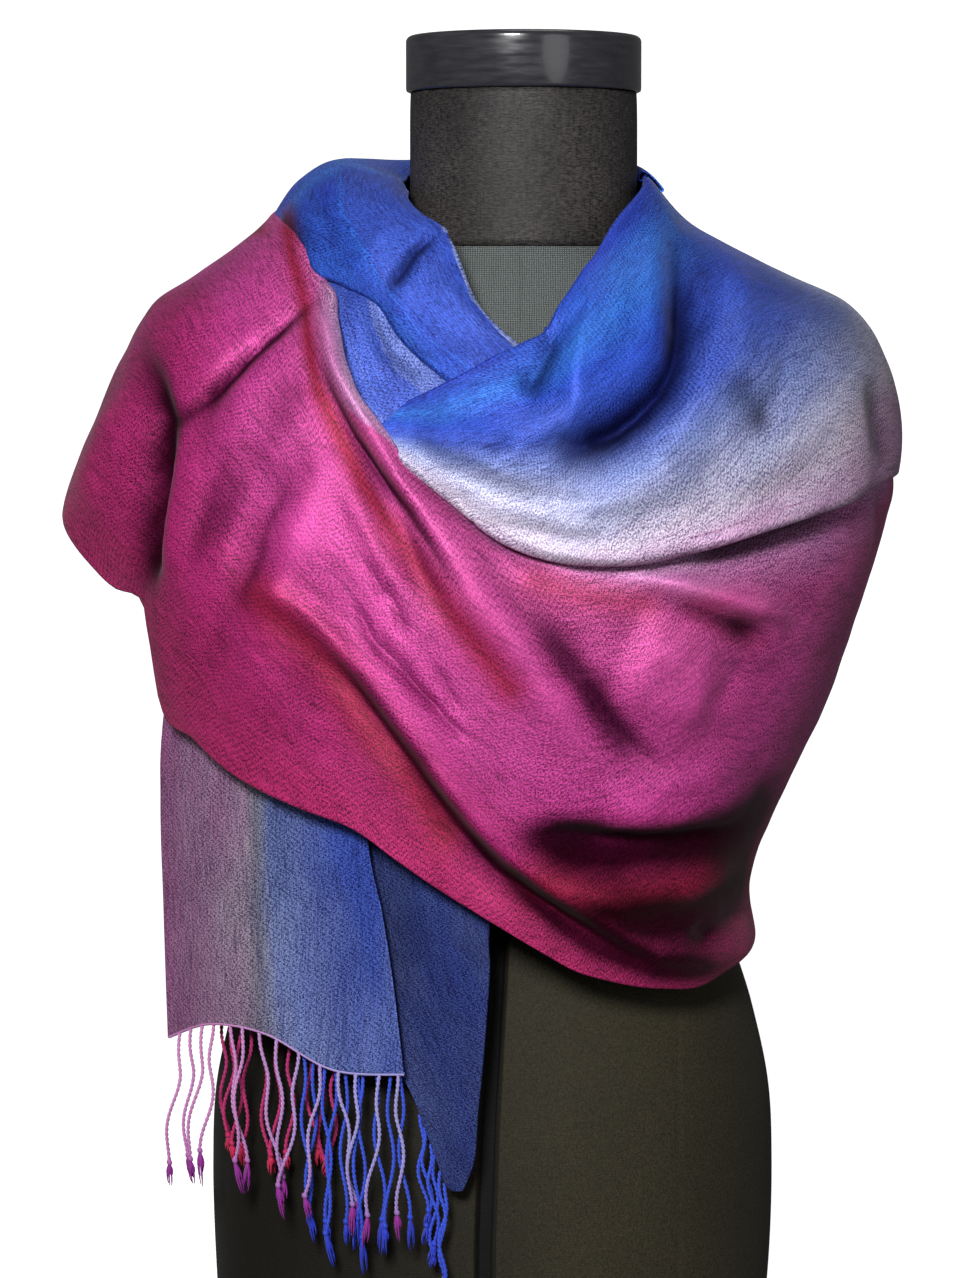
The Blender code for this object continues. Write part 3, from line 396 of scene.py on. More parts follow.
SWAG_SHADES = (
    (0.5, 12, 16, ((74, 642), (79, 594), (78, 560), (70, 544), (48, 527), (19, 516),
                   (-12, 514))),
    (0.35, 13.8, 18.4, ((85, 632), (121, 613), (151, 599), (178, 576), (191, 543), (192, 518))),
    (0.28, 11.5, 11.5, ((105, 558), (117, 540), (129, 523))),
    (0.52, 10.3, 10.3, ((20, 575), (9, 560), (-3, 543))),
    (0.21, 13.8, 13.8, ((-65, 533), (-37, 520), (-12, 506), (19, 497))),
    (0.35, 5.8, 6.9, ((176, 553), (180, 528), (182, 505))),
    (-0.49, 9.2, 8, ((57, 645), (41, 620), (26, 594), (11, 574))),
    (-0.39, 9.2, 9.2, ((31, 594), (27, 571), (26, 547))),
    (-0.35, 10.3, 10.3, ((65, 625), (67, 594), (60, 567), (39, 547))),
    (-0.32, 13.8, 13.8, ((-55, 511), (-22, 486), (14, 470), (55, 468))),
    (-0.21, 23, 23, ((121, 512), (146, 528), (164, 548))),
)
COLLAR_SHADES = (
    (0.85, 7, 7, ((-123, 648), (-120, 629), (-110, 612))),
    (0.5, 3.6, 4.8, ((-42, 627), (-55, 617), (-62, 607), (-71, 596))),
    (-0.28, 6, 6, ((-50, 631), (-64, 622), (-73, 609))),
    (0.28, 4.8, 4.8, ((-93, 603), (-73, 592), (-62, 578), (-42, 561))),
    (0.22, 7.2, 7.2, ((-98, 662), (-80, 664), (-66, 657))),
)

# Where the colours of the weave lie. Each line is a share of the cloth's width, from
# the blue selvedge to the crimson one, and the path that it takes as seen from the eye.
# On the right-hand side of a path, walking along it, the share is larger.
WRAP_SHARES = (
    (0.25, ((-47, 503), (-15, 477), (26, 461), (60, 460), (90, 465), (121, 476),
             (157, 490), (185, 503))),
    (0.295, ((-97, 601), (-93, 574), (-88, 555), (-82, 541), (-72, 528), (-61, 512),
             (-37, 489), (-12, 469), (26, 452), (60, 446), (90, 444), (121, 447),
             (151, 460), (177, 478))),
    (0.34, ((-114, 642), (-104, 601), (-104, 582), (-101, 566), (-97, 553), (-90, 538), (-80, 520),
            (-57, 492), (-27, 459), (4, 436), (39, 421), (90, 417), (134, 425), (169, 450))),
    (0.42, ((-133, 642), (-126, 609), (-118, 568), (-108, 528), (-88, 487), (-63, 446), (-32, 405),
            (9, 370), (60, 349), (106, 354), (146, 380))),
    (0.66, ((-165, 609), (-170, 568), (-172, 528), (-162, 482), (-139, 441), (-106, 409), (-90, 387),
            (-73, 364), (-49, 336), (-17, 314), (19, 314), (65, 319), (106, 324), (141, 344))),
    (0.80, ((-206, 558), (-211, 518), (-206, 482), (-180, 436), (-157, 395), (-124, 364), (-83, 339),
            (-47, 314), (-12, 291), (34, 280), (80, 285), (121, 298))),
    (1.0, ((-240, 480), (-226, 469), (-217, 458), (-207, 447), (-194, 437), (-190, 410), (-184, 384),
           (-155, 357), (-122, 338), (-90, 325), (-57, 301), (-25, 281), (8, 261), (42, 245),
           (85, 241), (110, 252), (121, 265))),
)
SWAG_SHARES = (
    (0.0, ((-69, 539), (-56, 542), (-45, 548), (-29, 556), (-6, 568), (7, 574), (13, 577),
           (18, 586), (26, 597), (33, 607), (41, 621), (50, 635), (59, 649))),
    (0.05, ((-65, 533), (-42, 533), (-12, 543), (19, 553), (42, 568), (57, 589), (74, 613),
            (90, 634))),
    (0.10, ((-64, 525), (-42, 523), (-12, 525), (19, 527), (49, 533), (85, 551), (113, 579),
            (136, 608))),
    (0.15, ((-62, 519), (-37, 511), (-2, 507), (39, 506), (80, 515), (113, 533), (141, 553),
            (159, 574), (169, 591))),
    (0.20, ((-58, 511), (-27, 492), (4, 479), (44, 474), (85, 487), (126, 507), (159, 530),
            (176, 551), (185, 571))),
    (0.25, ((-32, 472), (9, 451), (49, 446), (85, 462), (121, 479), (157, 496), (185, 516),
            (192, 538))),
)
TAIL_SHARES = (
    (0.115, ((-88, 352), (-83, 299), (-78, 266), (-71, 234), (-67, 197))),
    (0.135, ((-114, 354), (-110, 288), (-106, 237), (-103, 196))),
    (0.15, ((-130, 361), (-129, 288), (-126, 237), (-123, 206))),
    (0.23, ((-141, 364), (-142, 288), (-141, 213))),
    (0.255, ((-170, 375), (-172, 288), (-172, 217))),
    (0.275, ((-184, 382), (-185, 288), (-183, 214))),
)
# The red warp stripes where they show in front: strength, half width and path.
FRONT_STRIPES = (
    (0.95, 4.2, ((-120, 639), (-116, 613), (-111, 591), (-108, 568), (-104, 548))),
    (0.95, 5.5, ((-104, 548), (-93, 523), (-82, 499), (-69, 479))),
    (0.85, 9.0, ((-69, 479), (-55, 460), (-39, 438), (-22, 416), (-7, 396))),
    (0.85, 12.0, ((-133, 443), (-116, 426), (-97, 406), (-80, 377), (-57, 348), (-40, 321))),
    (0.6, 9.0, ((6, 450), (29, 444), (62, 439))),
    (0.35, 10.0, ((90, 438), (116, 421))),
    (0.85, 15.0, ((11, 296), (39, 288), (75, 292), (113, 302))),
)
BACK_STRIPES = ((0.365, 0.022, 0.9), (0.61, 0.03, 0.6))

# The weave's two thread colours across the width: share, light thread, dark thread.
THREADS = (
    (0.00, (52, 84, 216), (8, 12, 84)),
    (0.035, (66, 140, 246), (12, 26, 124)),
    (0.07, (56, 100, 232), (10, 18, 104)),
    (0.11, (78, 108, 214), (18, 24, 98)),
    (0.145, (146, 164, 226), (40, 48, 106)),
    (0.18, (204, 206, 236), (70, 70, 118)),
    (0.215, (228, 214, 232), (88, 74, 112)),
    (0.245, (222, 176, 214), (88, 54, 98)),
    (0.275, (214, 132, 192), (88, 34, 80)),
    (0.31, (230, 100, 176), (106, 18, 74)),
    (0.38, (224, 82, 168), (98, 12, 68)),
    (0.52, (222, 74, 166), (90, 8, 60)),
    (0.68, (204, 50, 134), (78, 4, 44)),
    (0.83, (216, 54, 130), (80, 8, 44)),
    (0.975, (224, 58, 134), (88, 10, 46)),
    (1.00, (224, 56, 128), (104, 10, 56)),
)
STRIPE_LIGHT = (178, 32, 72)
STRIPE_DARK = (84, 4, 26)
# These two colours are given as the shader takes them: the darkest painted shade in the cloth's
# hollows, and the painted shade in the form's groove.
DEEPEST_PAINTED_SHADE = (0.0022, 0.0006, 0.0008, 1.0)
GROOVE_PAINTED_SHADE = (0.001, 0.001, 0.001, 1.0)
# The share of the width where a hanging end is toned down, over what share, and how far.
PALEST_SHARE = 0.195
PALEST_HALF = 0.035
PALEST_SHADE = 0.32

CLOTH_THICKNESS = 0.8
FOLD_TAPER = 0.3      # the share of a fold's length over which each end fades
HOLLOW_PASSES = 50    # how often a stretch's height is blurred to find its hollows
HOLLOW_FULL = 9.5     # the depth at which the painted shade in hollows is darkest
FAR_PASSES = 4        # both of them again for wide hollows, times these
FAR_FULL = 2.2
# Lumps of the crumpled cloth per metre, along and across.
WIDE_CRUMPLE = (22, 60)
CLOSE_CRUMPLE = (70, 45)
HANGING_CRUMPLE = (14, 70)

TUBE_ASIDE = np.array([0.31, 0.92, 0.22])   # no strand runs this way
PLY_RADIUS = 0.56
PLY_OFFSET = 0.48
PLY_PITCH = 5.0
PLY_STEP = 0.9
TUFT_HAIRS = 9
HAIR_RADIUS = 0.75
BLUE_PLACES = 42      # places of the front end's last row that also carry blue strands,
BLUE_SHIFT = np.array([0, 3.5, 2.0])        # moved back and up
CORNER_PLACES = 36    # and of the turned corner's side edge
PALE_CHANGE = (-0.150, -0.085)   # in metres, where the pale strands change from the left
CHEST_SEAM = (0.470, 0.474)      # in metres, where the knit ends and the net starts
GROOVE_HALF_WIDTH = 4.2
GROOVE_DEPTH = 7.0
GROOVE_TOP = 468.0
SIDE_SEAM = 76.0      # where the seam beside the groove stands, in x
FORM_RINGS = 170
FORM_SIDES = 440

# Name, place, aim and width of each light in metres, and its power in watts.
LIGHTS = (
    ("key", (-0.45, -2.2, 1.35), (0, 0, 0.42), 0.6, 64),
    ("fill", (1.3, -2.2, 0.7), (0, 0, 0.4), 1.2, 6),
    ("top", (0.2, 0.2, 2.4), (0, 0, 0.5), 1.0, 5),
)
# The floor's reach, its wall's place and height and the bend between them, in metres.
FLOOR_REACH = 12.0
WALL_BACK = 3.0
WALL_TOP = 4.0
WALL_BEND = 1.2


def spline(rows, place):
    """Read a smooth curve through the rows of a table at fractional row numbers."""
    rows = np.asarray(rows, float)
    last = len(rows) - 1
    place = np.clip(np.asarray(place, float), 0, last)
    low = np.minimum(place.astype(int), last - 1)
    part = (place - low).reshape(place.shape + (1,) * (rows.ndim - 1))
    before = rows[np.maximum(low - 1, 0)]
    start = rows[low]
    end = rows[low + 1]
    after = rows[np.minimum(low + 2, last)]
    slope = (end - before) * part
    bend = (2 * before - 5 * start + 4 * end - after) * part ** 2
    turn = (3 * start - before - 3 * end + after) * part ** 3
    return start + 0.5 * (slope + bend + turn)


def soft_step(value, start, end):
    share = np.clip((value - start) / (end - start), 0, 1)
    return share * share * (3 - 2 * share)


def unit(vectors):
    return vectors / np.maximum(np.linalg.norm(vectors, axis=-1, keepdims=True), 1e-9)


def squared_reach(cosine, sine):
    """How far a rounded rectangle lies out, against an ellipse, at each turn."""
    return (np.abs(cosine) ** SQUARENESS + np.abs(sine) ** SQUARENESS) ** (-1 / SQUARENESS)


def shell_point(angle, ring):
    """The place on the shell at an angle in degrees, 0 at the right and 90 in front."""
    left_x, left_z, right_x, right_z, front_y, front_z, back_y, back_z = np.moveaxis(
        spline(RINGS, ring), -1, 0)
    turn = np.radians(angle)
    cosine = np.cos(turn)
    sine = np.sin(turn)
    reach = squared_reach(cosine, sine)
    x = (left_x + right_x) / 2 + (right_x - left_x) / 2 * cosine * reach
    y = np.where(sine > 0, front_y, -back_y) * sine * reach
    middle = (left_z + right_z + front_z + back_z) / 4
    twist = (left_z + right_z - front_z - back_z) / 4
    z = middle + (right_z - left_z) / 2 * cosine + (front_z - back_z) / 2 * sine
    z = z + twist * np.cos(2 * turn)
    return np.stack([x, y, z], axis=-1)


def shell_normal(angle, ring):
    step = 0.02
    along = shell_point(angle + step * 20, ring) - shell_point(angle - step * 20, ring)
    down = shell_point(angle, ring + step) - shell_point(angle, ring - step)
    return unit(np.cross(along, down))


def seen(points):
    """Where points appear from the eye, in the plane of the neck."""
    scale = -EYE[1] / (points[..., 1] - EYE[1])
    x = EYE[0] + (points[..., 0] - EYE[0]) * scale
    z = EYE[2] + (points[..., 2] - EYE[2]) * scale
    return np.stack([x, z], axis=-1)


def at_depth(x, z, y):
    """The place that is seen at x, z and lies at depth y."""
    scale = (y - EYE[1]) / -EYE[1]
    return np.array([EYE[0] + (x - EYE[0]) * scale, y, EYE[2] + (z - EYE[2]) * scale])


def flat_view(points, side):
    return seen(points) if side == "front" else points[..., [0, 2]]


def search_grid(side):
    angles = np.linspace(0, 180, 91) + (0 if side == "front" else 180)
    rings = np.linspace(0, len(RINGS) - 1, len(RINGS) * 8)
    angle, ring = np.meshgrid(angles, rings, indexing="ij")
    return angle, ring, flat_view(shell_point(angle, ring), side)


def locate(place, grids):
    """Turn a table's place into an angle and a ring. A bare pair is seen from in front."""
    kind, first, second = place if len(place) == 3 else ("front", *place)
    if kind == "ring":
        return np.array([first, second], float)
    if kind not in grids:
        grids[kind] = search_grid(kind)
    angle, ring, view = grids[kind]
    target = np.array([first, second], float)
    best = np.argmin(((view - target) ** 2).sum(axis=-1))
    found = np.array([angle.flat[best], ring.flat[best]])
    low, high = (0, 180) if kind == "front" else (180, 360)
    for _ in range(8):
        here = flat_view(shell_point(found[0], found[1]), kind)
        by_angle = flat_view(shell_point(found[0] + 0.1, found[1]), kind) - here
        by_ring = flat_view(shell_point(found[0], found[1] + 0.01), kind) - here
        slope = np.stack([by_angle / 0.1, by_ring / 0.01], axis=1)
        if abs(np.linalg.det(slope)) < 1e-3:
            break
        move = np.linalg.solve(slope, target - here)
        move = np.clip(move, [-3, -0.3], [3, 0.3])
        found = found + move
        found[0] = np.clip(found[0], low, high)
        found[1] = np.clip(found[1], 0, len(RINGS) - 1)
    return found


def run_lengths(points, axis):
    steps = np.linalg.norm(np.diff(points, axis=axis), axis=-1)
    start = np.zeros_like(np.take(steps, [0], axis=axis))
    return np.concatenate([start, np.cumsum(steps, axis=axis)], axis=axis)


def even_steps(rows, count):
    """Row numbers that step evenly along the middle of a table."""
    length = run_lengths(rows[:, rows.shape[1] // 2], 0)
    return np.interp(np.linspace(0, length[-1], count), length, np.arange(len(rows)))


def patch(table, count_along, count_across):
    """Angles and rings of a grid of places laid through a table's rows, and the row numbers."""
    grids = {}
    rows = np.array([[locate(place, grids) for place in row] for row in table])
    for index in range(1, len(rows)):
        turns = np.round((rows[index, :, 0] - rows[index - 1, :, 0]) / 360)
        rows[index, :, 0] -= 360 * turns
    steps = even_steps(shell_point(rows[..., 0], rows[..., 1]), count_along)
    along = spline(rows, steps)
    across = np.linspace(0, rows.shape[1] - 1, count_across)
    placed = np.moveaxis(spline(np.moveaxis(along, 1, 0), across), 0, 1)
    placed[..., 1] = np.clip(placed[..., 1], 0.05, len(RINGS) - 1.05)
    return placed, steps


def to_path(view, path, open_ends=False):
    """Distance of each place of a view from a path, its side of it, and how far along it."""
    path = np.asarray(path, float)
    runs = np.linalg.norm(np.diff(path, axis=0), axis=1)
    starts = np.concatenate([[0], np.cumsum(runs)]) / runs.sum()
    nearest = np.full(view.shape[:-1], 1e9)
    side = np.ones(view.shape[:-1])
    along = np.zeros(view.shape[:-1])
    last = len(path) - 2
    for index, (start, end) in enumerate(zip(path[:-1], path[1:])):
        run = end - start
        offset = view - start
        low = -1e3 if open_ends and index == 0 else 0
        high = 1e3 if open_ends and index == last else 1
        share = np.clip((offset @ run) / (run @ run), low, high)
        gap = np.linalg.norm(offset - share[..., None] * run, axis=-1)
        cross = run[0] * offset[..., 1] - run[1] * offset[..., 0]
        closer = gap < nearest
        nearest = np.where(closer, gap, nearest)
        side = np.where(closer, np.where(cross > 0, 1, -1), side)
        along = np.where(closer, starts[index] + share * (starts[index + 1] - starts[index]), along)
    return nearest, side, along


def fold_height(view, folds):
    """How far the folds push the cloth out at each place of a view."""
    total = np.zeros(view.shape[:-1])
    for rise, upper, lower, path in folds:
        nearest, side, along = to_path(view, path)
        facing = 1 if path[-1][0] > path[0][0] else -1
        width = np.where(side * facing > 0, upper, lower)
        taper = soft_step(along, -0.06, FOLD_TAPER) * soft_step(along, 1.06, 1 - FOLD_TAPER)
        total += rise * taper * np.exp(-(nearest / width) ** 2)
    return total


def share_of_width(view, lines):
    """The share of the cloth's width at each place, read between the lines of a table."""
    past = []
    for _, path in lines:
        gap, side, _ = to_path(view, path, True)
        past.append(-gap * side)
    total = np.full(view.shape[:-1], float(lines[0][0]))
    for index in range(len(lines) - 1):
        here, there = past[index], past[index + 1]
        step = np.where(there >= 0, 1.0, np.clip(here, 0, None) / np.maximum(here - there, 1e-6))
        total += (lines[index + 1][0] - lines[index][0]) * np.where(here > 0, step, 0.0)
    return total


def grid_normals(points):
    along = np.gradient(points, axis=0)
    across = np.gradient(points, axis=1)
    return unit(np.cross(along, across))


def blurred(field, passes):
    for _ in range(passes):
        padded = np.pad(field, 1, mode="edge")
        field = (padded[:-2, 1:-1] + padded[2:, 1:-1] + padded[1:-1, :-2]
                 + padded[1:-1, 2:] + 4 * field) / 8
    return field


def grain(lengths, widths, stretch, seed):
    """Smooth noise over the cloth, stretched by a scale per metre along and across."""
    flat = zip((lengths * MM * stretch[0]).ravel(), (widths * MM * stretch[1]).ravel())
    found = [noise.noise(Vector((along, across, seed))) for along, across in flat]
    return np.array(found).reshape(lengths.shape)


class Cloth:
    """A grid of places on a stretch of cloth, with what its material needs to know."""

    def __init__(self, points, outward, share, stripe):
        self.points = points
        self.outward = outward
        self.share = share
        self.stripe = stripe
        self.lengths = run_lengths(points, 0)
        self.widths = run_lengths(points, 1)
        # Painted shade above 0 and painted highlight below 0, from -1 to 1.
        self.painted_shading = np.zeros(share.shape)

    def push(self, height):
        self.points = self.points + self.outward * height[..., None]

    def shade_hollows(self, height, passes, full):
        """Keep how far each place lies under the cloth round it, near and far, from -1 to 1, as
        painted shade in the hollows and painted highlight on the ridges.
        """
        near = blurred(height, passes)
        far = blurred(near, passes * FAR_PASSES)
        self.painted_shading = np.clip((near - height) / full + (far - height) / full / FAR_FULL, -1, 1)

    def roll_edge(self, last, radius, tuck, steps=8):
        """Roll the first or last edge across the cloth under itself."""
        order = slice(None, None, -1) if last else slice(None)
        points = self.points[:, order]
        outward = self.outward[:, order]
        radius = np.broadcast_to(np.asarray(radius, float), (points.shape[0],))[:, None]
        ahead = points[:, 0] - points[:, 2]
        ahead -= (ahead * outward[:, 0]).sum(axis=-1, keepdims=True) * outward[:, 0]
        ahead = unit(ahead)
        added = []
        for step in range(1, steps + 1):
            turn = math.pi * step / steps
            added.append(points[:, 0] + ahead * radius * math.sin(turn)
                         + outward[:, 0] * radius * (math.cos(turn) - 1))
        added.append(added[-1] - ahead * tuck)
        added = np.stack(added[::-1], axis=1)
        many = added.shape[1]

        def widen(field):
            field = field[:, order]
            edge = np.repeat(field[:, :1], many, axis=1)
            return np.concatenate([edge, field], axis=1)[:, order]

        self.points = np.concatenate([added, points], axis=1)[:, order]
        for field in ("outward", "share", "stripe", "painted_shading", "lengths"):
            setattr(self, field, widen(getattr(self, field)))
        self.widths = run_lengths(self.points, 1)


def draped(table, counts, offset, folds=(), back_folds=(), fine=(), shares=None,
           edge_shares=None, shades=(), crumple=0.35, seed=1.0):
    """A fine stretch of cloth on the shell. offset(along, across, row) is its distance outside."""
    placed, steps = patch(table, *counts)
    angle, ring = placed[..., 0], placed[..., 1]
    base = shell_point(angle, ring)
    normal = shell_normal(angle, ring)
    row, across = np.meshgrid(steps, np.linspace(0, 1, counts[1]), indexing="ij")
    along = np.linspace(0, 1, counts[0])[:, None] + 0 * across
    frontness = np.sin(np.radians(angle))
    in_front = soft_step(frontness, *FRONT_FADE)
    behind = soft_step(-frontness, *BACK_FADE)
    view = seen(base)
    rear = flat_view(base, "back")
    height = in_front * fold_height(view, tuple(folds) + tuple(fine))
    height = height + behind * fold_height(rear, back_folds)
    ring_share = np.interp(ring, *zip(*RING_SHARES))
    if edge_shares:
        ring_share = edge_shares[0] + (edge_shares[1] - edge_shares[0]) * across
    if shares is None:
        share = ring_share
        front_weight = np.zeros_like(share)
    else:
        front_weight = soft_step(frontness, *COLOUR_FADE)
        share = front_weight * share_of_width(view, shares) + (1 - front_weight) * ring_share
    stripe = np.zeros_like(share)
    for strength, half_width, path in FRONT_STRIPES:
        gap, _, _ = to_path(view, path)
        stripe = np.maximum(stripe, front_weight * strength * np.exp(-(gap / half_width) ** 2))
    for middle, half_width, strength in BACK_STRIPES:
        bump = strength * np.exp(-((share - middle) / half_width) ** 2)
        stripe = np.maximum(stripe, (1 - front_weight) * bump)
    outer = base + normal * (offset(along, across, row) + height)[..., None]
    facing = grid_normals(outer)
    if (facing * normal).sum() < 0:
        facing = -facing
    cloth = Cloth(outer, facing, share, stripe)
    wrinkles = crumple * (grain(cloth.lengths, cloth.widths, WIDE_CRUMPLE, seed)
                          + 0.6 * grain(cloth.lengths, cloth.widths, CLOSE_CRUMPLE, seed + 5))
    cloth.push(wrinkles)
    # Painted shade in the hollows and painted highlight on the ridges of the folds, and in front the
    # listed painted shades, which fade as the shell turns sideways.
    cloth.shade_hollows(height + wrinkles, HOLLOW_PASSES, HOLLOW_FULL)
    to_front = np.clip(-FACING_GAIN * normal[..., 1], 0, 1)
    placed_shade = to_front * front_weight * fold_height(view, shades)
    cloth.painted_shading = np.clip(cloth.painted_shading + placed_shade, -1, 1)
    return cloth


def hanging(table, counts, ripple, shares, plain_share, shade, seed):
    """A fine stretch of cloth that hangs free, through rows of seen places and depths."""
    rows = np.array([[at_depth(*place) for place in row] for row in table])
    along = spline(rows, np.linspace(0, len(rows) - 1, counts[0]))
    across = np.linspace(0, rows.shape[1] - 1, counts[1])
    outer = np.moveaxis(spline(np.moveaxis(along, 1, 0), across), 0, 1)
    share = np.linspace(0, 1, counts[1])
    wave = ripple * np.sin(share * 3.2 * math.pi + 0.6)
    fall = soft_step(np.linspace(0, 1, counts[0]), 0.35, 1.0)
    outer[..., 1] += fall[:, None] * wave[None, :]
    facing = grid_normals(outer)
    if facing[..., 1].sum() > 0:
        facing = -facing
    view = seen(outer)
    width_share = np.full(view.shape[:-1], plain_share)
    if shares:
        width_share = share_of_width(view, shares)
    cloth = Cloth(outer, facing, width_share, np.zeros(width_share.shape))
    cloth.push(0.3 * grain(cloth.lengths, cloth.widths, HANGING_CRUMPLE, seed))
    pale = np.exp(-((cloth.share - PALEST_SHARE) / PALEST_HALF) ** 2)
    # Painted shade: the whole stretch is darkened evenly by shade, and its palest band is toned down
    # as well.
    cloth.painted_shading = cloth.painted_shading + shade + PALEST_SHADE * pale
    return cloth


def linked(name, data):
    """A new object, put in the scene."""
    made = bpy.data.objects.new(name, data)
    bpy.context.collection.objects.link(made)
    return made


def smooth_mesh(name, points, faces, material, scale=MM):
    mesh = bpy.data.meshes.new(name)
    mesh.from_pydata((np.asarray(points, float) * scale).tolist(), [], faces)
    mesh.update()
    mesh.shade_smooth()
    mesh.materials.append(material)
    return mesh


def keep_values(mesh, label, values):
    """Keep a value at each point, for the mesh's material to read."""
    attribute = mesh.attributes.new(label, "FLOAT", "POINT")
    attribute.data.foreach_set("value", np.asarray(values, np.float32).ravel())


def finish_cloth(name, cloth, material, replaced):
    """Make a piece of a stretch of cloth, with its weave's coordinates in a UV map."""
    rows, columns = cloth.share.shape
    index = np.arange(rows * columns).reshape(rows, columns)
    quads = np.stack([index[:-1, :-1], index[:-1, 1:], index[1:, 1:], index[1:, :-1]], axis=-1)
    facing = grid_normals(cloth.points)
    if (facing * cloth.outward).sum() < 0:
        quads = quads[..., ::-1]
    mesh = smooth_mesh(name, cloth.points.reshape(-1, 3), quads.reshape(-1, 4).tolist(), material)
    corner = np.zeros(len(mesh.loops), np.int32)
    mesh.loops.foreach_get("vertex_index", corner)
    flat = np.stack([cloth.lengths, cloth.widths], axis=-1).reshape(-1, 2) * MM
    layer = mesh.uv_layers.new(name="cloth")
    layer.uv.foreach_set("vector", flat[corner].astype(np.float32).ravel())
    keep_values(mesh, "width_share", cloth.share)
    keep_values(mesh, "stripe", cloth.stripe)
    keep_values(mesh, "painted_shading", cloth.painted_shading)
    piece = linked(name, mesh)
    wall = piece.modifiers.new("thickness", "SOLIDIFY")
    wall.thickness = CLOTH_THICKNESS * MM
    wall.offset = -1
    wall.use_even_offset = False
    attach(piece, "root")
    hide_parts(*replaced)
    return piece


def linear(colour):
    """A colour given as it looks on screen, 0 to 255, as the shader wants it."""
    return tuple((c / 255 / 12.92) if c / 255 <= 0.04045 else ((c / 255 + 0.055) / 1.055) ** 2.4
                 for c in colour) + (1.0,)


class Shader:
    """Short names for adding and joining the nodes of one material."""

    def __init__(self, name, roughness, **sockets):
        self.material = bpy.data.materials.new(name)
        self.material.use_nodes = True
        self.tree = self.material.node_tree
        self.finish = self.tree.nodes["Principled BSDF"]
        self.finish.inputs["Roughness"].default_value = roughness
        for label, value in sockets.items():
            self.finish.inputs[label.replace("_", " ")].default_value = value

    def add(self, kind, **settings):
        made = self.tree.nodes.new(kind)
        for label, value in settings.items():
            setattr(made, label, value)
        return made

    def join(self, source, target):
        self.tree.links.new(source, target)

    def attribute(self, name):
        return self.add("ShaderNodeAttribute", attribute_name=name).outputs["Fac"]

    def scaled(self, source, scale, turn=0.0):
        mapping = self.add("ShaderNodeMapping")
        mapping.inputs["Scale"].default_value = scale
        mapping.inputs["Rotation"].default_value = (0, 0, turn)
        self.join(source, mapping.inputs["Vector"])
        return mapping.outputs["Vector"]

    def noise(self, place, scale, detail=2.0, rough=0.5):
        made = self.add("ShaderNodeTexNoise")
        made.inputs["Scale"].default_value = scale
        made.inputs["Detail"].default_value = detail
        made.inputs["Roughness"].default_value = rough
        self.join(place, made.inputs["Vector"])
        return made.outputs["Fac"]

    def grain(self, place, scale, detail=2.0, rough=0.5, turn=0.0):
        """Noise over a place that is stretched and turned first."""
        return self.noise(self.scaled(place, scale, turn), 1.0, detail, rough)

    def own_place(self):
        return self.add("ShaderNodeTexCoord").outputs["Object"]

    def split(self, place):
        """The X, Y and Z of a place."""
        made = self.add("ShaderNodeSeparateXYZ")
        self.join(place, made.inputs[0])
        return made.outputs

    def bands(self, place, scale, distortion=0.0, direction="X"):
        made = self.add("ShaderNodeTexWave", wave_type="BANDS", bands_direction=direction)
        made.inputs["Scale"].default_value = scale
        made.inputs["Distortion"].default_value = distortion
        self.join(place, made.inputs["Vector"])
        return made.outputs["Fac"]

    def math(self, operation, first, second=0.0, third=0.0):
        made = self.add("ShaderNodeMath", operation=operation)
        for socket, value in zip(made.inputs, (first, second, third)):
            if isinstance(value, (int, float)):
                socket.default_value = value
            else:
                self.join(value, socket)
        return made.outputs[0]

    def spread(self, source, low, high, to_low=0.0, to_high=1.0):
        made = self.add("ShaderNodeMapRange")
        for label, value in (("From Min", low), ("From Max", high), ("To Min", to_low),
                             ("To Max", to_high)):
            made.inputs[label].default_value = value
        self.join(source, made.inputs["Value"])
        return made.outputs[0]

    def tone(self, source, to_low, to_high):
        """Spread a noise from the range that most of it lies in."""
        return self.spread(source, 0.3, 0.7, to_low, to_high)

    def mix(self, share, first, second):
        made = self.add("ShaderNodeMix", data_type="RGBA", blend_type="MIX")
        sockets = [made.inputs[0], made.inputs[6], made.inputs[7]]
        for socket, value in zip(sockets, (share, first, second)):
            if isinstance(value, (int, float, tuple)):
                socket.default_value = value
            else:
                self.join(value, socket)
        return made.outputs[2]

    def ramp(self, share, stops):
        made = self.add("ShaderNodeValToRGB")
        points = made.color_ramp.elements
        while len(points) < len(stops):
            points.new(1.0)
        for point, (place, colour) in zip(points, stops):
            point.position = place
            point.color = linear(colour)
        self.join(share, made.inputs["Fac"])
        return made.outputs["Color"]

    def colour(self, source):
        self.join(source, self.finish.inputs["Base Color"])

    def relief(self, height, strength, distance):
        bump = self.add("ShaderNodeBump")
        bump.inputs["Strength"].default_value = strength
        bump.inputs["Distance"].default_value = distance
        self.join(height, bump.inputs["Height"])
        self.join(bump.outputs["Normal"], self.finish.inputs["Normal"])


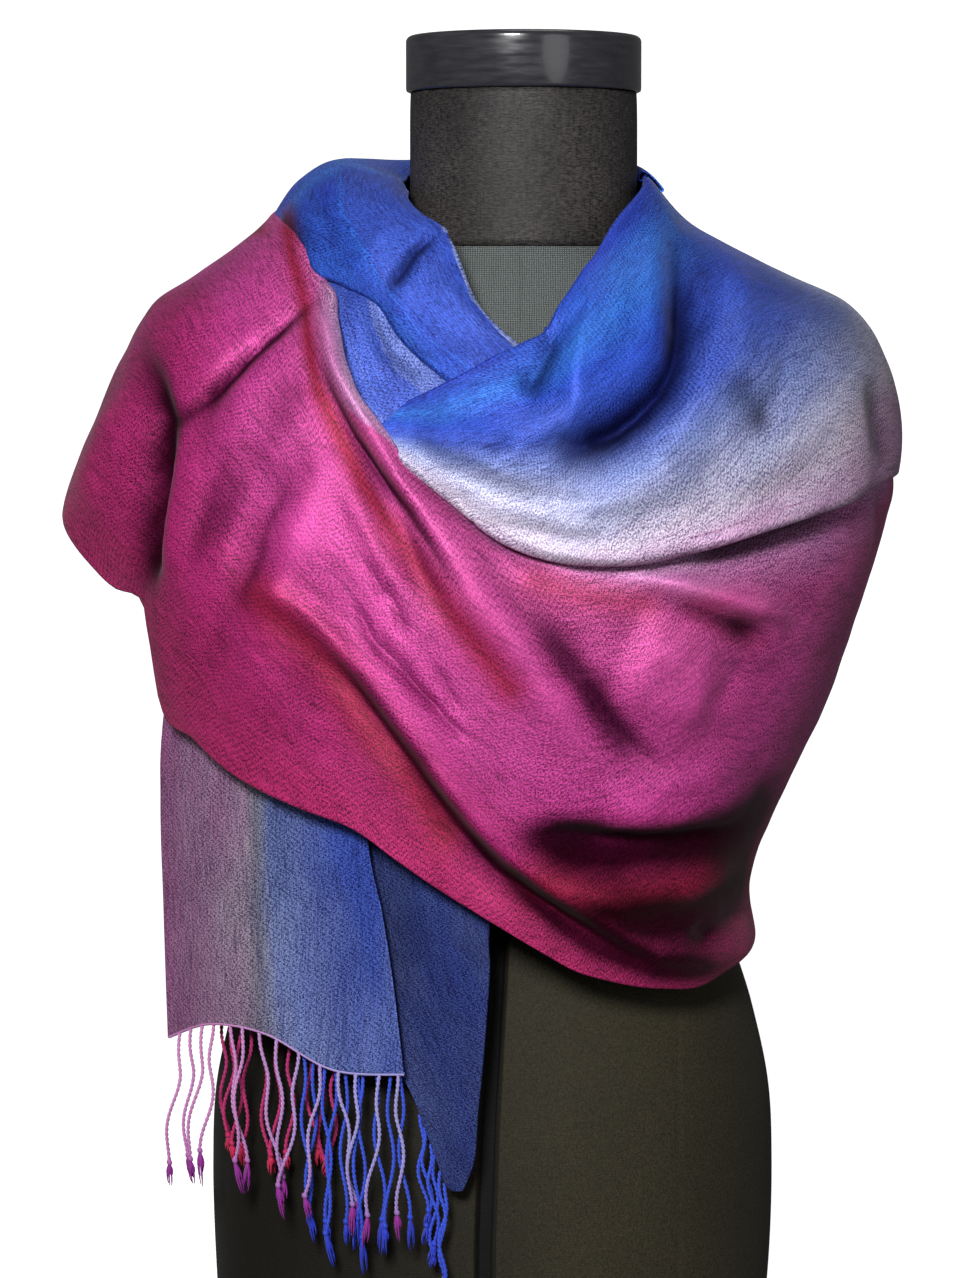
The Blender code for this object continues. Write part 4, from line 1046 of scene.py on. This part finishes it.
def shawl_material():
    """Light and dark threads with a faint twill, whose colours run across the width, with painted
    shade in the hollows and painted highlight on the ridges.
    """
    cloth = Shader("shawl_weave", 0.52, Sheen_Weight=0.06, Sheen_Roughness=0.4,
                   Specular_IOR_Level=0.3)
    place = cloth.add("ShaderNodeUVMap", uv_map="cloth").outputs["UV"]
    wander = cloth.grain(place, (9, 30, 1), 3.0)
    share = cloth.math("ADD", cloth.attribute("width_share"),
                       cloth.tone(wander, -0.012, 0.012))
    light = cloth.ramp(share, [(at, bright) for at, bright, _ in THREADS])
    dark = cloth.ramp(share, [(at, deep) for at, _, deep in THREADS])
    stripe = cloth.attribute("stripe")
    light = cloth.mix(stripe, light, linear(STRIPE_LIGHT))
    dark = cloth.mix(stripe, dark, linear(STRIPE_DARK))
    rising = cloth.grain(place, (2300, 760, 1), 1.0, turn=0.6)
    falling = cloth.grain(place, (800, 2200, 1), 1.0, turn=0.5)
    slubs = cloth.grain(place, (90, 1100, 1), 3.0, 0.65)
    clouds = cloth.grain(place, (26, 40, 1), 3.0)
    twill = cloth.bands(cloth.scaled(place, (1, 1, 1), 0.62), 150.0)
    weave = cloth.math("ADD", cloth.spread(rising, 0.37, 0.63, -0.26, 0.68),
                       cloth.spread(falling, 0.37, 0.63, -0.24, 0.54))
    weave = cloth.math("ADD", weave, cloth.math("MULTIPLY", twill, 0.26))
    weave = cloth.math("ADD", weave, cloth.tone(slubs, -0.38, 0.38))
    weave = cloth.math("ADD", weave, cloth.tone(clouds, -0.08, 0.12))
    colour = cloth.mix(cloth.spread(weave, 0.0, 1.0), dark, light)
    # Painted shade in the fine crinkles: where this noise is low, the colour goes part way to the
    # dark thread. The same noise also adds to the bump.
    crinkle = cloth.grain(place, (26, 300, 1), 3.0, 0.65)
    colour = cloth.mix(cloth.spread(crinkle, 0.46, 0.28, 0.0, 0.5), colour, dark)
    # Painted shade: the colour goes towards the deepest shade colour in the hollows, and towards the
    # light thread as painted highlight on the ridges. The metal share rises with the painted shade,
    # so the reflection darkens there as well.
    painted_shading = cloth.attribute("painted_shading")
    painted_shade_colour = cloth.mix(0.7, dark, DEEPEST_PAINTED_SHADE)
    colour = cloth.mix(cloth.spread(painted_shading, 0.0, 1.0, 0.0, 0.9), colour, painted_shade_colour)
    colour = cloth.mix(cloth.spread(painted_shading, 0.0, -1.0, 0.0, 0.45), colour, light)
    cloth.colour(colour)
    cloth.join(cloth.spread(painted_shading, 0.0, 1.0, 0.3, 0.95), cloth.finish.inputs["Metallic"])
    height = cloth.math("ADD", rising, cloth.math("MULTIPLY", crinkle, 0.7))
    height = cloth.math("ADD", height, cloth.math("MULTIPLY", slubs, 0.5))
    cloth.relief(height, 0.4, 0.0004)
    return cloth.material


def yarn_material(name, colour, tip, left=None):
    """Twisted yarn that changes towards its loose tip, and from the left to the right."""
    yarn = Shader(name, 0.6, Sheen_Weight=0.1, Sheen_Roughness=0.4, Specular_IOR_Level=0.3)
    place = yarn.own_place()
    fuzz = yarn.noise(place, 2600.0, 2.0, 0.7)
    body = linear(colour)
    if left:
        from_left = yarn.spread(yarn.split(place)["X"], *PALE_CHANGE)
        body = yarn.mix(from_left, linear(left), body)
    colours = yarn.mix(yarn.attribute("tip"), body, linear(tip))
    shade = yarn.tone(fuzz, 0.0, 0.45)
    yarn.colour(yarn.mix(shade, colours, linear(tuple(c * 0.45 for c in tip))))
    yarn.relief(fuzz, 0.3, 0.0003)
    return yarn.material


def form_material():
    """A dark knitted cover below with painted light across it, and an open grey weave on the chest
    above the seam.
    """
    cover = Shader("form_knit", 0.7, Sheen_Weight=0.02, Specular_IOR_Level=0.22)
    place = cover.own_place()
    axes = cover.split(place)
    rows = cover.bands(place, 330.0, 3.0, "Z")
    fleck = cover.grain(place, (1500, 1500, 800), 3.0, 0.7)
    patches = cover.noise(place, 9.0, 2.0)
    knit = cover.math("ADD", cover.spread(rows, 0.0, 1.0, 0.0, 0.12),
                      cover.tone(fleck, 0.05, 0.85))
    knit = cover.math("MULTIPLY", knit, cover.tone(patches, 0.8, 1.1))
    # Painted light: the knit is darker towards the left, lit across the middle, and a little darker
    # again towards the right.
    lit = cover.math("MULTIPLY", cover.spread(axes["X"], -0.075, 0.02, 0.2, 1.2),
                     cover.spread(axes["X"], 0.06, 0.14, 1.0, 0.72))
    knit = cover.math("MULTIPLY", knit, lit)
    below = cover.mix(knit, linear((8, 7, 4)), linear((60, 55, 38)))
    net = cover.math("MULTIPLY", cover.bands(cover.scaled(place, (1, 1, 0.62)), 270.0, 2.5),
                     cover.bands(place, 300.0, 2.5, "Z"))
    above = cover.mix(cover.math("ADD", net, cover.tone(fleck, -0.1, 0.35)),
                      linear((44, 48, 49)), linear((120, 126, 124)))
    chest = cover.spread(axes["Z"], *CHEST_SEAM)
    # Painted shade: the groove down the front is filled with near black, for the shade inside it.
    below = cover.mix(cover.attribute("tip"), below, GROOVE_PAINTED_SHADE)
    cover.colour(cover.mix(chest, below, above))
    cover.relief(cover.math("ADD", cover.math("MULTIPLY", rows, 0.3), fleck), 0.4, 0.0005)
    return cover.material


def neck_material():
    """The neck's nearly black ribbed net."""
    net = Shader("neck_net", 0.62, Specular_IOR_Level=0.4)
    place = net.own_place()
    rows = net.grain(place, (380, 380, 1700), 2.0, 0.6)
    threads = net.grain(place, (1300, 1300, 110), 2.0, 0.6)
    patches = net.grain(place, (30, 30, 18))
    mesh = net.math("ADD", net.spread(rows, 0.34, 0.66, -0.1, 0.65),
                    net.tone(threads, 0.0, 0.3))
    mesh = net.math("MULTIPLY", mesh, net.tone(patches, 0.55, 1.2))
    net.colour(net.mix(mesh, linear((8, 8, 8)), linear((74, 69, 67))))
    net.relief(rows, 0.5, 0.0006)
    return net.material


def cap_material():
    cap = Shader("cap_gloss", 0.22, Specular_IOR_Level=0.5, Coat_Weight=0.3, Coat_Roughness=0.08)
    scuffs = cap.grain(cap.own_place(), (60, 60, 400), 3.0)
    cap.colour(cap.mix(cap.spread(scuffs, 0.35, 0.7), linear((38, 38, 43)), linear((52, 52, 57))))
    cap.join(cap.tone(scuffs, 0.16, 0.32), cap.finish.inputs["Roughness"])
    return cap.material


def joined(name, parts, material, replaced):
    """One smooth piece of several lists of points, faces and a value at each point."""
    points, faces, tips = [], [], []
    for some_points, some_faces, some_tips in parts:
        start = len(points)
        points += some_points
        faces += [tuple(start + corner for corner in face) for face in some_faces]
        tips += some_tips
    mesh = smooth_mesh(name, points, faces, material)
    keep_values(mesh, "tip", tips)
    piece = linked(name, mesh)
    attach(piece, "root")
    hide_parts(*replaced)
    return piece


def ring_faces(levels, sides):
    """The faces of a closed solid whose points lie in rings, one after the other."""
    faces = []
    for level in range(levels - 1):
        low, high = level * sides, (level + 1) * sides
        for side in range(sides):
            after = (side + 1) % sides
            faces.append((low + side, low + after, high + after, high + side))
    faces.append(tuple(reversed(range(sides))))
    faces.append(tuple(range((levels - 1) * sides, levels * sides)))
    return faces


def tube(path, radii, sides, tips):
    """A tube round a path, with its own radius and tip value at each point."""
    path = np.asarray(path, float)
    heading = unit(np.gradient(path, axis=0))
    first = unit(np.cross(heading, TUBE_ASIDE))
    second = np.cross(heading, first)
    points = []
    for centre, one, two, radius in zip(path, first, second, radii):
        for side in range(sides):
            turn = 2 * math.pi * side / sides
            points.append(tuple(centre + radius * (math.cos(turn) * one + math.sin(turn) * two)))
    return points, ring_faces(len(path), sides), [tip for tip in tips for _ in range(sides)]


def strand(root, length, drift, phase, tuft):
    """A twisted two-ply strand with a knot and a loose tuft at its end."""
    count = max(24, int(length / PLY_STEP))
    share = np.linspace(0, 1, count)
    side, ahead = drift
    path = np.array(root, float) + np.stack([
        side * share ** 1.3 + 2.0 * np.sin(share * 8.5 + phase) * np.minimum(share * 3, 1),
        ahead * np.sin(share * math.pi) + 0.7 * np.sin(share * 6.0 + 2 * phase) * share,
        -length * share], axis=1)
    parts = []
    for ply in range(2):
        turn = 2 * math.pi * length * share / PLY_PITCH + math.pi * ply + phase
        offset = np.stack([np.cos(turn), np.sin(turn), np.zeros(count)], axis=1) * PLY_OFFSET
        radii = np.full(count, PLY_RADIUS)
        parts.append(tube(path + offset, radii, 5, 0.35 * share ** 3))
    knot_at = path[-1]
    swell = np.linspace(-1, 1, 7)
    knot_path = knot_at + np.stack([0.3 * np.sin(swell * 2), 0 * swell, -1.5 * swell], axis=1)
    parts.append(tube(knot_path, 0.35 + 1.05 * np.sqrt(np.clip(1 - swell ** 2, 0, 1)), 8,
                      np.full(7, 0.55)))
    lean = 0.28 * math.sin(phase * 3.1)
    for hair in range(TUFT_HAIRS):
        out = np.array([math.cos(hair * 2.4 + phase), math.sin(hair * 2.4 + phase), 0.0])
        fall = np.linspace(0, 1, 6)
        reach = tuft * (0.72 + 0.28 * math.sin(hair * 1.9 + phase))
        hairs = knot_at + np.stack([
            out[0] * 1.5 * np.sin(fall * 2.4) + lean * reach * fall,
            out[1] * 1.3 * np.sin(fall * 2.4),
            -1.2 - reach * fall], axis=1)
        parts.append(tube(hairs, HAIR_RADIUS * (1 - 0.7 * fall), 4, np.full(6, 1.0)))
    return parts


def fringe_row(name, edge, spread, lengths, drift, tuft, material, replaced, seed, cord=0):
    """A row of strands along an edge, and a cord on it where a cord's radius is given.

    lengths and tuft are a middle and a spread. drift is how far strands lean sideways
    and forwards, each its own way, and sideways all together.
    """
    pick = random.Random(seed)
    edge = np.asarray(edge, float)
    run = run_lengths(edge, 0)
    parts = []
    for share in spread:
        root = [np.interp(share * run[-1], run, edge[:, axis]) for axis in range(3)]
        root[2] -= 0.3
        length = lengths[0] + lengths[1] * pick.uniform(-1, 1)
        lean = (drift[0] * pick.uniform(-1, 1) + drift[2], drift[1] * pick.uniform(-1, 1))
        parts += strand(root, length, lean, pick.uniform(0, 6.28),
                        tuft[0] + tuft[1] * pick.uniform(-1, 1))
    if cord:
        count = len(edge)
        parts.append(tube(edge, np.full(count, cord), 6, np.zeros(count)))
    return joined(name, parts, material, replaced)


def spaced(count, start, end, jitter, seed):
    """Shares of an edge, evenly spaced but for some jitter."""
    pick = random.Random(seed)
    step = (end - start) / (count - 1)
    return [start + step * (k + jitter * pick.uniform(-1, 1)) for k in range(count)]


def ring_of(left, right, front, back, height, count):
    """A level ring of the form, with most of its places close together in front."""
    turn = np.linspace(0, 2 * math.pi, count, endpoint=False)
    turn = turn - 0.8 * np.cos(turn)
    cosine, sine = np.cos(turn), np.sin(turn)
    reach = squared_reach(cosine, sine)
    x = (left + right) / 2 + (right - left) / 2 * cosine * reach
    y = np.where(sine > 0, back, -front) * sine * reach
    return np.stack([x, y, np.full(count, height)], axis=1)


def groove_middle(height):
    """The form's front groove drifts a little to the left on its way down."""
    return np.interp(height, (130, 190, 280, 470), (-19.5, -17.5, -12.5, -9.0))


def smooth_form():
    """The form's body again, much finer, with the groove down its front and its chest seam."""
    levels = spline(FORM_LEVELS, np.linspace(0, len(FORM_LEVELS) - 1, FORM_RINGS))
    rings = np.array([ring_of(left, right, front, back, z, FORM_SIDES)
                      for z, left, right, front, back in levels])
    x, y, z = rings[..., 0], rings[..., 1], rings[..., 2]
    is_front = soft_step(-y, 20, 60)
    from_groove = np.abs(x - groove_middle(z)) / GROOVE_HALF_WIDTH
    low = soft_step(z, GROOVE_TOP + 3, GROOVE_TOP)
    groove = is_front * low * soft_step(from_groove, 1.35, 0.65)
    y = y + groove * GROOVE_DEPTH
    seam = np.exp(-((x + 1.5) / 0.8) ** 2) * (1 - low)
    seam = seam + np.exp(-((x - SIDE_SEAM) / 0.7) ** 2) * low
    y = y + is_front * 0.7 * seam
    rings[..., 1] = y
    points = rings.reshape(-1, 3).tolist()
    # The groove's mask is kept as the tip value, where the material paints the groove's shade.
    return points, ring_faces(FORM_RINGS, FORM_SIDES), groove.ravel().tolist()


def turned(profile, count=160):
    """A solid turned round the upright axis from pairs of radius and height."""
    points = []
    for radius, height in profile:
        for k in range(count):
            turn = 2 * math.pi * k / count
            points.append((radius * math.cos(turn), radius * math.sin(turn), height))
    return points, ring_faces(len(profile), count), [0.0] * len(points)


def dress_form():
    joined("dress_form_torso", [smooth_form()], form_material(), ["form_torso"])
    bulge = [(NECK_RADIUS - 0.4 * (abs(2 * t - 1) ** 6), NECK_BOTTOM + (NECK_TOP - NECK_BOTTOM) * t)
             for t in np.linspace(0, 1, 24)]
    joined("dress_form_neck",[turned(bulge)], neck_material(), ["form_neck"])
    bottom = NECK_TOP + PART_GAP
    rim = [(CAP_RADIUS - 1.2, bottom), (CAP_RADIUS - 0.3, bottom + 0.5), (CAP_RADIUS, bottom + 1.5)]
    rim += [(CAP_RADIUS, CAP_TOP - CAP_ROUND - 1.0)]
    for k in range(9):
        turn = math.pi / 2 * k / 8
        rim.append((CAP_RADIUS - CAP_ROUND + CAP_ROUND * math.cos(turn),
                    CAP_TOP - CAP_ROUND + CAP_ROUND * math.sin(turn)))
    joined("dress_form_cap", [turned(rim)], cap_material(), ["form_neck_cap"])


# How far out from the shell each stretch lies. along and across run from 0 to 1 over it,
# and row counts the rows of its table.
def sleeve_flare(across):
    return SLEEVE_FLARE * soft_step(across, 0.45, 1.05)


def inner_fold_offset(along, across, row):
    return -3.9 - 6.6 * soft_step(along, 0.2, 0.7)


def collar_offset(along, across, row):
    crown = 1.5 * np.sin(math.pi * across) * soft_step(along, 0.3, 0.6)
    under_edge = -2.8 * soft_step(across, 0.2, 0.0) * soft_step(along, 0.78, 0.68)
    bend = 1.6 * np.exp(-((along - 0.54) / 0.07) ** 2) * soft_step(across, 0.3, 0.6)
    bend = bend - 6.5 * np.exp(-((along - 0.46) / 0.13) ** 2) * soft_step(across, 0.66, 0.94)
    return (1.0 + 2.2 * soft_step(along, 0.5, 0.3) + crown + under_edge + bend
            - 7.0 * soft_step(along, 0.80, 0.95))


def back_wrap_offset(along, across, row):
    return -0.4 - 0.4 * soft_step(along, 0.82, 0.97)


def swag_offset(along, across, row):
    lift = 0.6 + 4.4 * soft_step(along, 0.10, 0.36)
    rim = 1.2 * soft_step(across, 0.3, 0.0) * soft_step(along, 0.9, 0.6)
    return lift * soft_step(along, 0.92, 0.5) + rim - 0.4


def second_turn_offset(along, across, row):
    """Row 19 is the edge of the shoulder throw and row 25 the start of the back tail."""
    tuck = 2.9 * soft_step(across, 0.14, 0.03) * soft_step(row, 12.0, 9.0)
    throw = 2.3 * soft_step(row, 19, 20.8)
    flare = sleeve_flare(across) * soft_step(row, 19.0, 22.5) * soft_step(row, 25.6, 25.0)
    return -0.3 - tuck + throw + flare + 6.5 * soft_step(row, 25, 25.8)


def wound_cloth(material):
    """The stretches that lie round the form, from the neck outwards."""
    inner = draped(INNER_FOLD, (70, 44), inner_fold_offset, fine=INNER_FOLD_FOLDS,
                   shares=INNER_SHARES, seed=2.0)
    collar = draped(COLLAR_COVER, (230, 46), collar_offset, back_folds=BACK_FOLDS,
                    fine=COLLAR_FOLDS, shares=COLLAR_SHARES, shades=COLLAR_SHADES, seed=3.0)
    collar.roll_edge(False, 1.0, 3.0)
    collar_roll = np.interp(np.linspace(0, 1, 230), (0.3, 0.64, 0.72, 1), (0.5, 0.5, 1.9, 1.4))
    collar.roll_edge(True, collar_roll, 2.0)
    back = draped(BACK_COVER, (170, 150), back_wrap_offset, back_folds=BACK_FOLDS, seed=4.0)
    swag = draped(COWL, (230, 96), swag_offset, folds=SWAG_FOLDS, fine=FINE_SWAG_FOLDS,
                  shares=SWAG_SHARES, shades=SWAG_SHADES, seed=5.0)
    swag.roll_edge(False, 1.3, 4.0)
    swag.roll_edge(True, 1.8, 6.0)
    second = draped(FRONT_WRAP + SHOULDER_THROW + BACK_TAIL, (330, 118), second_turn_offset,
                    folds=WRAP_FOLDS, back_folds=BACK_FOLDS + BACK_TAIL_FOLDS,
                    fine=FINE_WRAP_FOLDS, shares=WRAP_SHARES, edge_shares=(0.315, 1.0),
                    shades=WRAP_SHADES, seed=6.0, crumple=0.5)
    second_roll = np.interp(np.linspace(0, 30, 330), (0, 9, 13, 18, 20, 24, 27, 30),
                            (0.8, 0.8, 2.6, 2.8, 1.0, 1.0, 1.8, 1.8))
    second.roll_edge(False, second_roll, 5.0)
    return {
        "inner": finish_cloth("shawl_inner_turn", inner, material, ["scarf_inner_fold"]),
        "collar": finish_cloth("shawl_collar", collar, material, ["scarf_collar"]),
        "back": finish_cloth("shawl_back", back, material, ["scarf_back_wrap"]),
        "swag": finish_cloth("shawl_swag", swag, material, ["scarf_cowl"]),
        "second": finish_cloth("shawl_second_turn", second, material,
                               ["scarf_front_wrap", "scarf_shoulder_throw", "scarf_back_tail"]),
    }, second


def hanging_ends(material):
    # The last but one number of each stretch is its painted shade.
    tail = hanging(FRONT_TAIL, (130, 110), 1.6, TAIL_SHARES, 0.2, 0.2, 7.0)
    turn = hanging(TAIL_TURN, (120, 50), 0.0, None, 0.125, 0.76, 8.0)
    behind = hanging(TAIL_BEHIND, (70, 60), 0.0, None, 0.8, 0.6, 9.0)
    return {
        "tail": finish_cloth("shawl_end_front", tail, material, ["scarf_front_tail"]),
        "turn": finish_cloth("shawl_end_turn", turn, material, ["scarf_tail_turn"]),
        "behind": finish_cloth("shawl_end_behind", behind, material, ["scarf_tail_behind"]),
    }, tail, turn, behind


def fringes(tail, turn, behind, second):
    """The rows of strands, each on an edge of the stretch that carries it."""
    lavender = yarn_material("yarn_lavender", (172, 168, 232), (150, 40, 150), (222, 150, 208))
    blue = yarn_material("yarn_blue", (62, 92, 224), (38, 58, 200))
    magenta = yarn_material("yarn_magenta", (190, 50, 120), (205, 30, 80))
    mauve = yarn_material("yarn_mauve", (170, 90, 160), (180, 30, 110))
    end = tail.points[-1]
    pale = fringe_row("fringe_pale", end, spaced(14, 0.97, 0.05, 0.25, 4), (68, 5),
                      (9, 2, 0), (13, 4), lavender,
                      ["fringe_front_lavender"], 11, 0.95)
    low = end[-BLUE_PLACES:] + BLUE_SHIFT
    royal = fringe_row("fringe_royal", low, spaced(10, 0.05, 0.95, 0.3, 5), (78, 6), (7, 2, 0),
                       (14, 4), blue, ["fringe_front_blue"], 12)
    red = fringe_row("fringe_magenta", behind.points[-1], spaced(10, 0.3, 0.95, 0.3, 6), (58, 6),
                     (5, 2, 0), (8, 2), magenta, ["fringe_front_magenta"], 13)
    corner = turn.points[-CORNER_PLACES:, 0]
    tip = fringe_row("fringe_corner", corner, spaced(6, 0.15, 0.98, 0.2, 7), (50, 4), (3, 1, 1),
                     (8, 2), blue, ["fringe_front_corner"], 14)
    rear = fringe_row("fringe_rear", second.points[-1, 9:], spaced(30, 0.02, 0.98, 0.25, 8),
                      (66, 5), (4, 2, 0), (7, 2), mauve, ["fringe_back"], 15)
    return pale, royal, red, tip, rear


def area_light(name, place, aim, size, power):
    lamp = linked(name, bpy.data.lights.new(name, "AREA"))
    lamp.data.shape = "DISK"
    lamp.data.size = size
    lamp.data.energy = power
    lamp.location = place
    lamp.rotation_euler = (Vector(aim) - Vector(place)).to_track_quat("-Z", "Y").to_euler()


def studio():
    """A pale floor that curves up into a pale wall, and large soft lights."""
    bend_start = WALL_BACK - WALL_BEND
    profile = [(-FLOOR_REACH, 0.0), (bend_start, 0.0)]
    for k in range(1, 17):
        turn = math.pi / 2 * k / 16
        profile.append((bend_start + WALL_BEND * math.sin(turn),
                        WALL_BEND - WALL_BEND * math.cos(turn)))
    profile.append((WALL_BACK, WALL_TOP))
    points = [(x, y, z) for y, z in profile for x in (-FLOOR_REACH, FLOOR_REACH)]
    faces = [(2 * k, 2 * k + 1, 2 * k + 3, 2 * k + 2) for k in range(len(profile) - 1)]
    paint = Shader("studio_paint", 0.9, Base_Color=(0.8, 0.8, 0.8, 1.0),
                   Emission_Color=(1.0, 1.0, 1.0, 1.0), Emission_Strength=0.9)
    mesh = smooth_mesh("studio_floor", points, faces, paint.material, 1.0)
    floor = linked("studio_floor", mesh)
    floor.visible_diffuse = False
    floor.visible_glossy = False
    for light in LIGHTS:
        area_light(*light)
    world = bpy.data.worlds.new("studio_air")
    world.use_nodes = True
    sky = world.node_tree.nodes["Background"]
    sky.inputs["Color"].default_value = (1.0, 1.0, 1.0, 1.0)
    sky.inputs["Strength"].default_value = 0.11
    bpy.context.scene.world = world
    bpy.context.scene.view_settings.view_transform = "Standard"


def photo_camera():
    camera = linked("camera", bpy.data.cameras.new("camera"))
    camera.data.sensor_width = 36
    camera.data.lens = CAMERA_LENS
    camera.location = EYE * MM
    camera.rotation_euler = (math.radians(90 - CAMERA_TILT), 0, 0)
    bpy.context.scene.camera = camera


def main():
    photo_camera()
    studio()
    dress_form()
    shawl = shawl_material()
    wound, second = wound_cloth(shawl)
    ends, tail, turn, behind = hanging_ends(shawl)
    fringe = fringes(tail, turn, behind, second)


main()
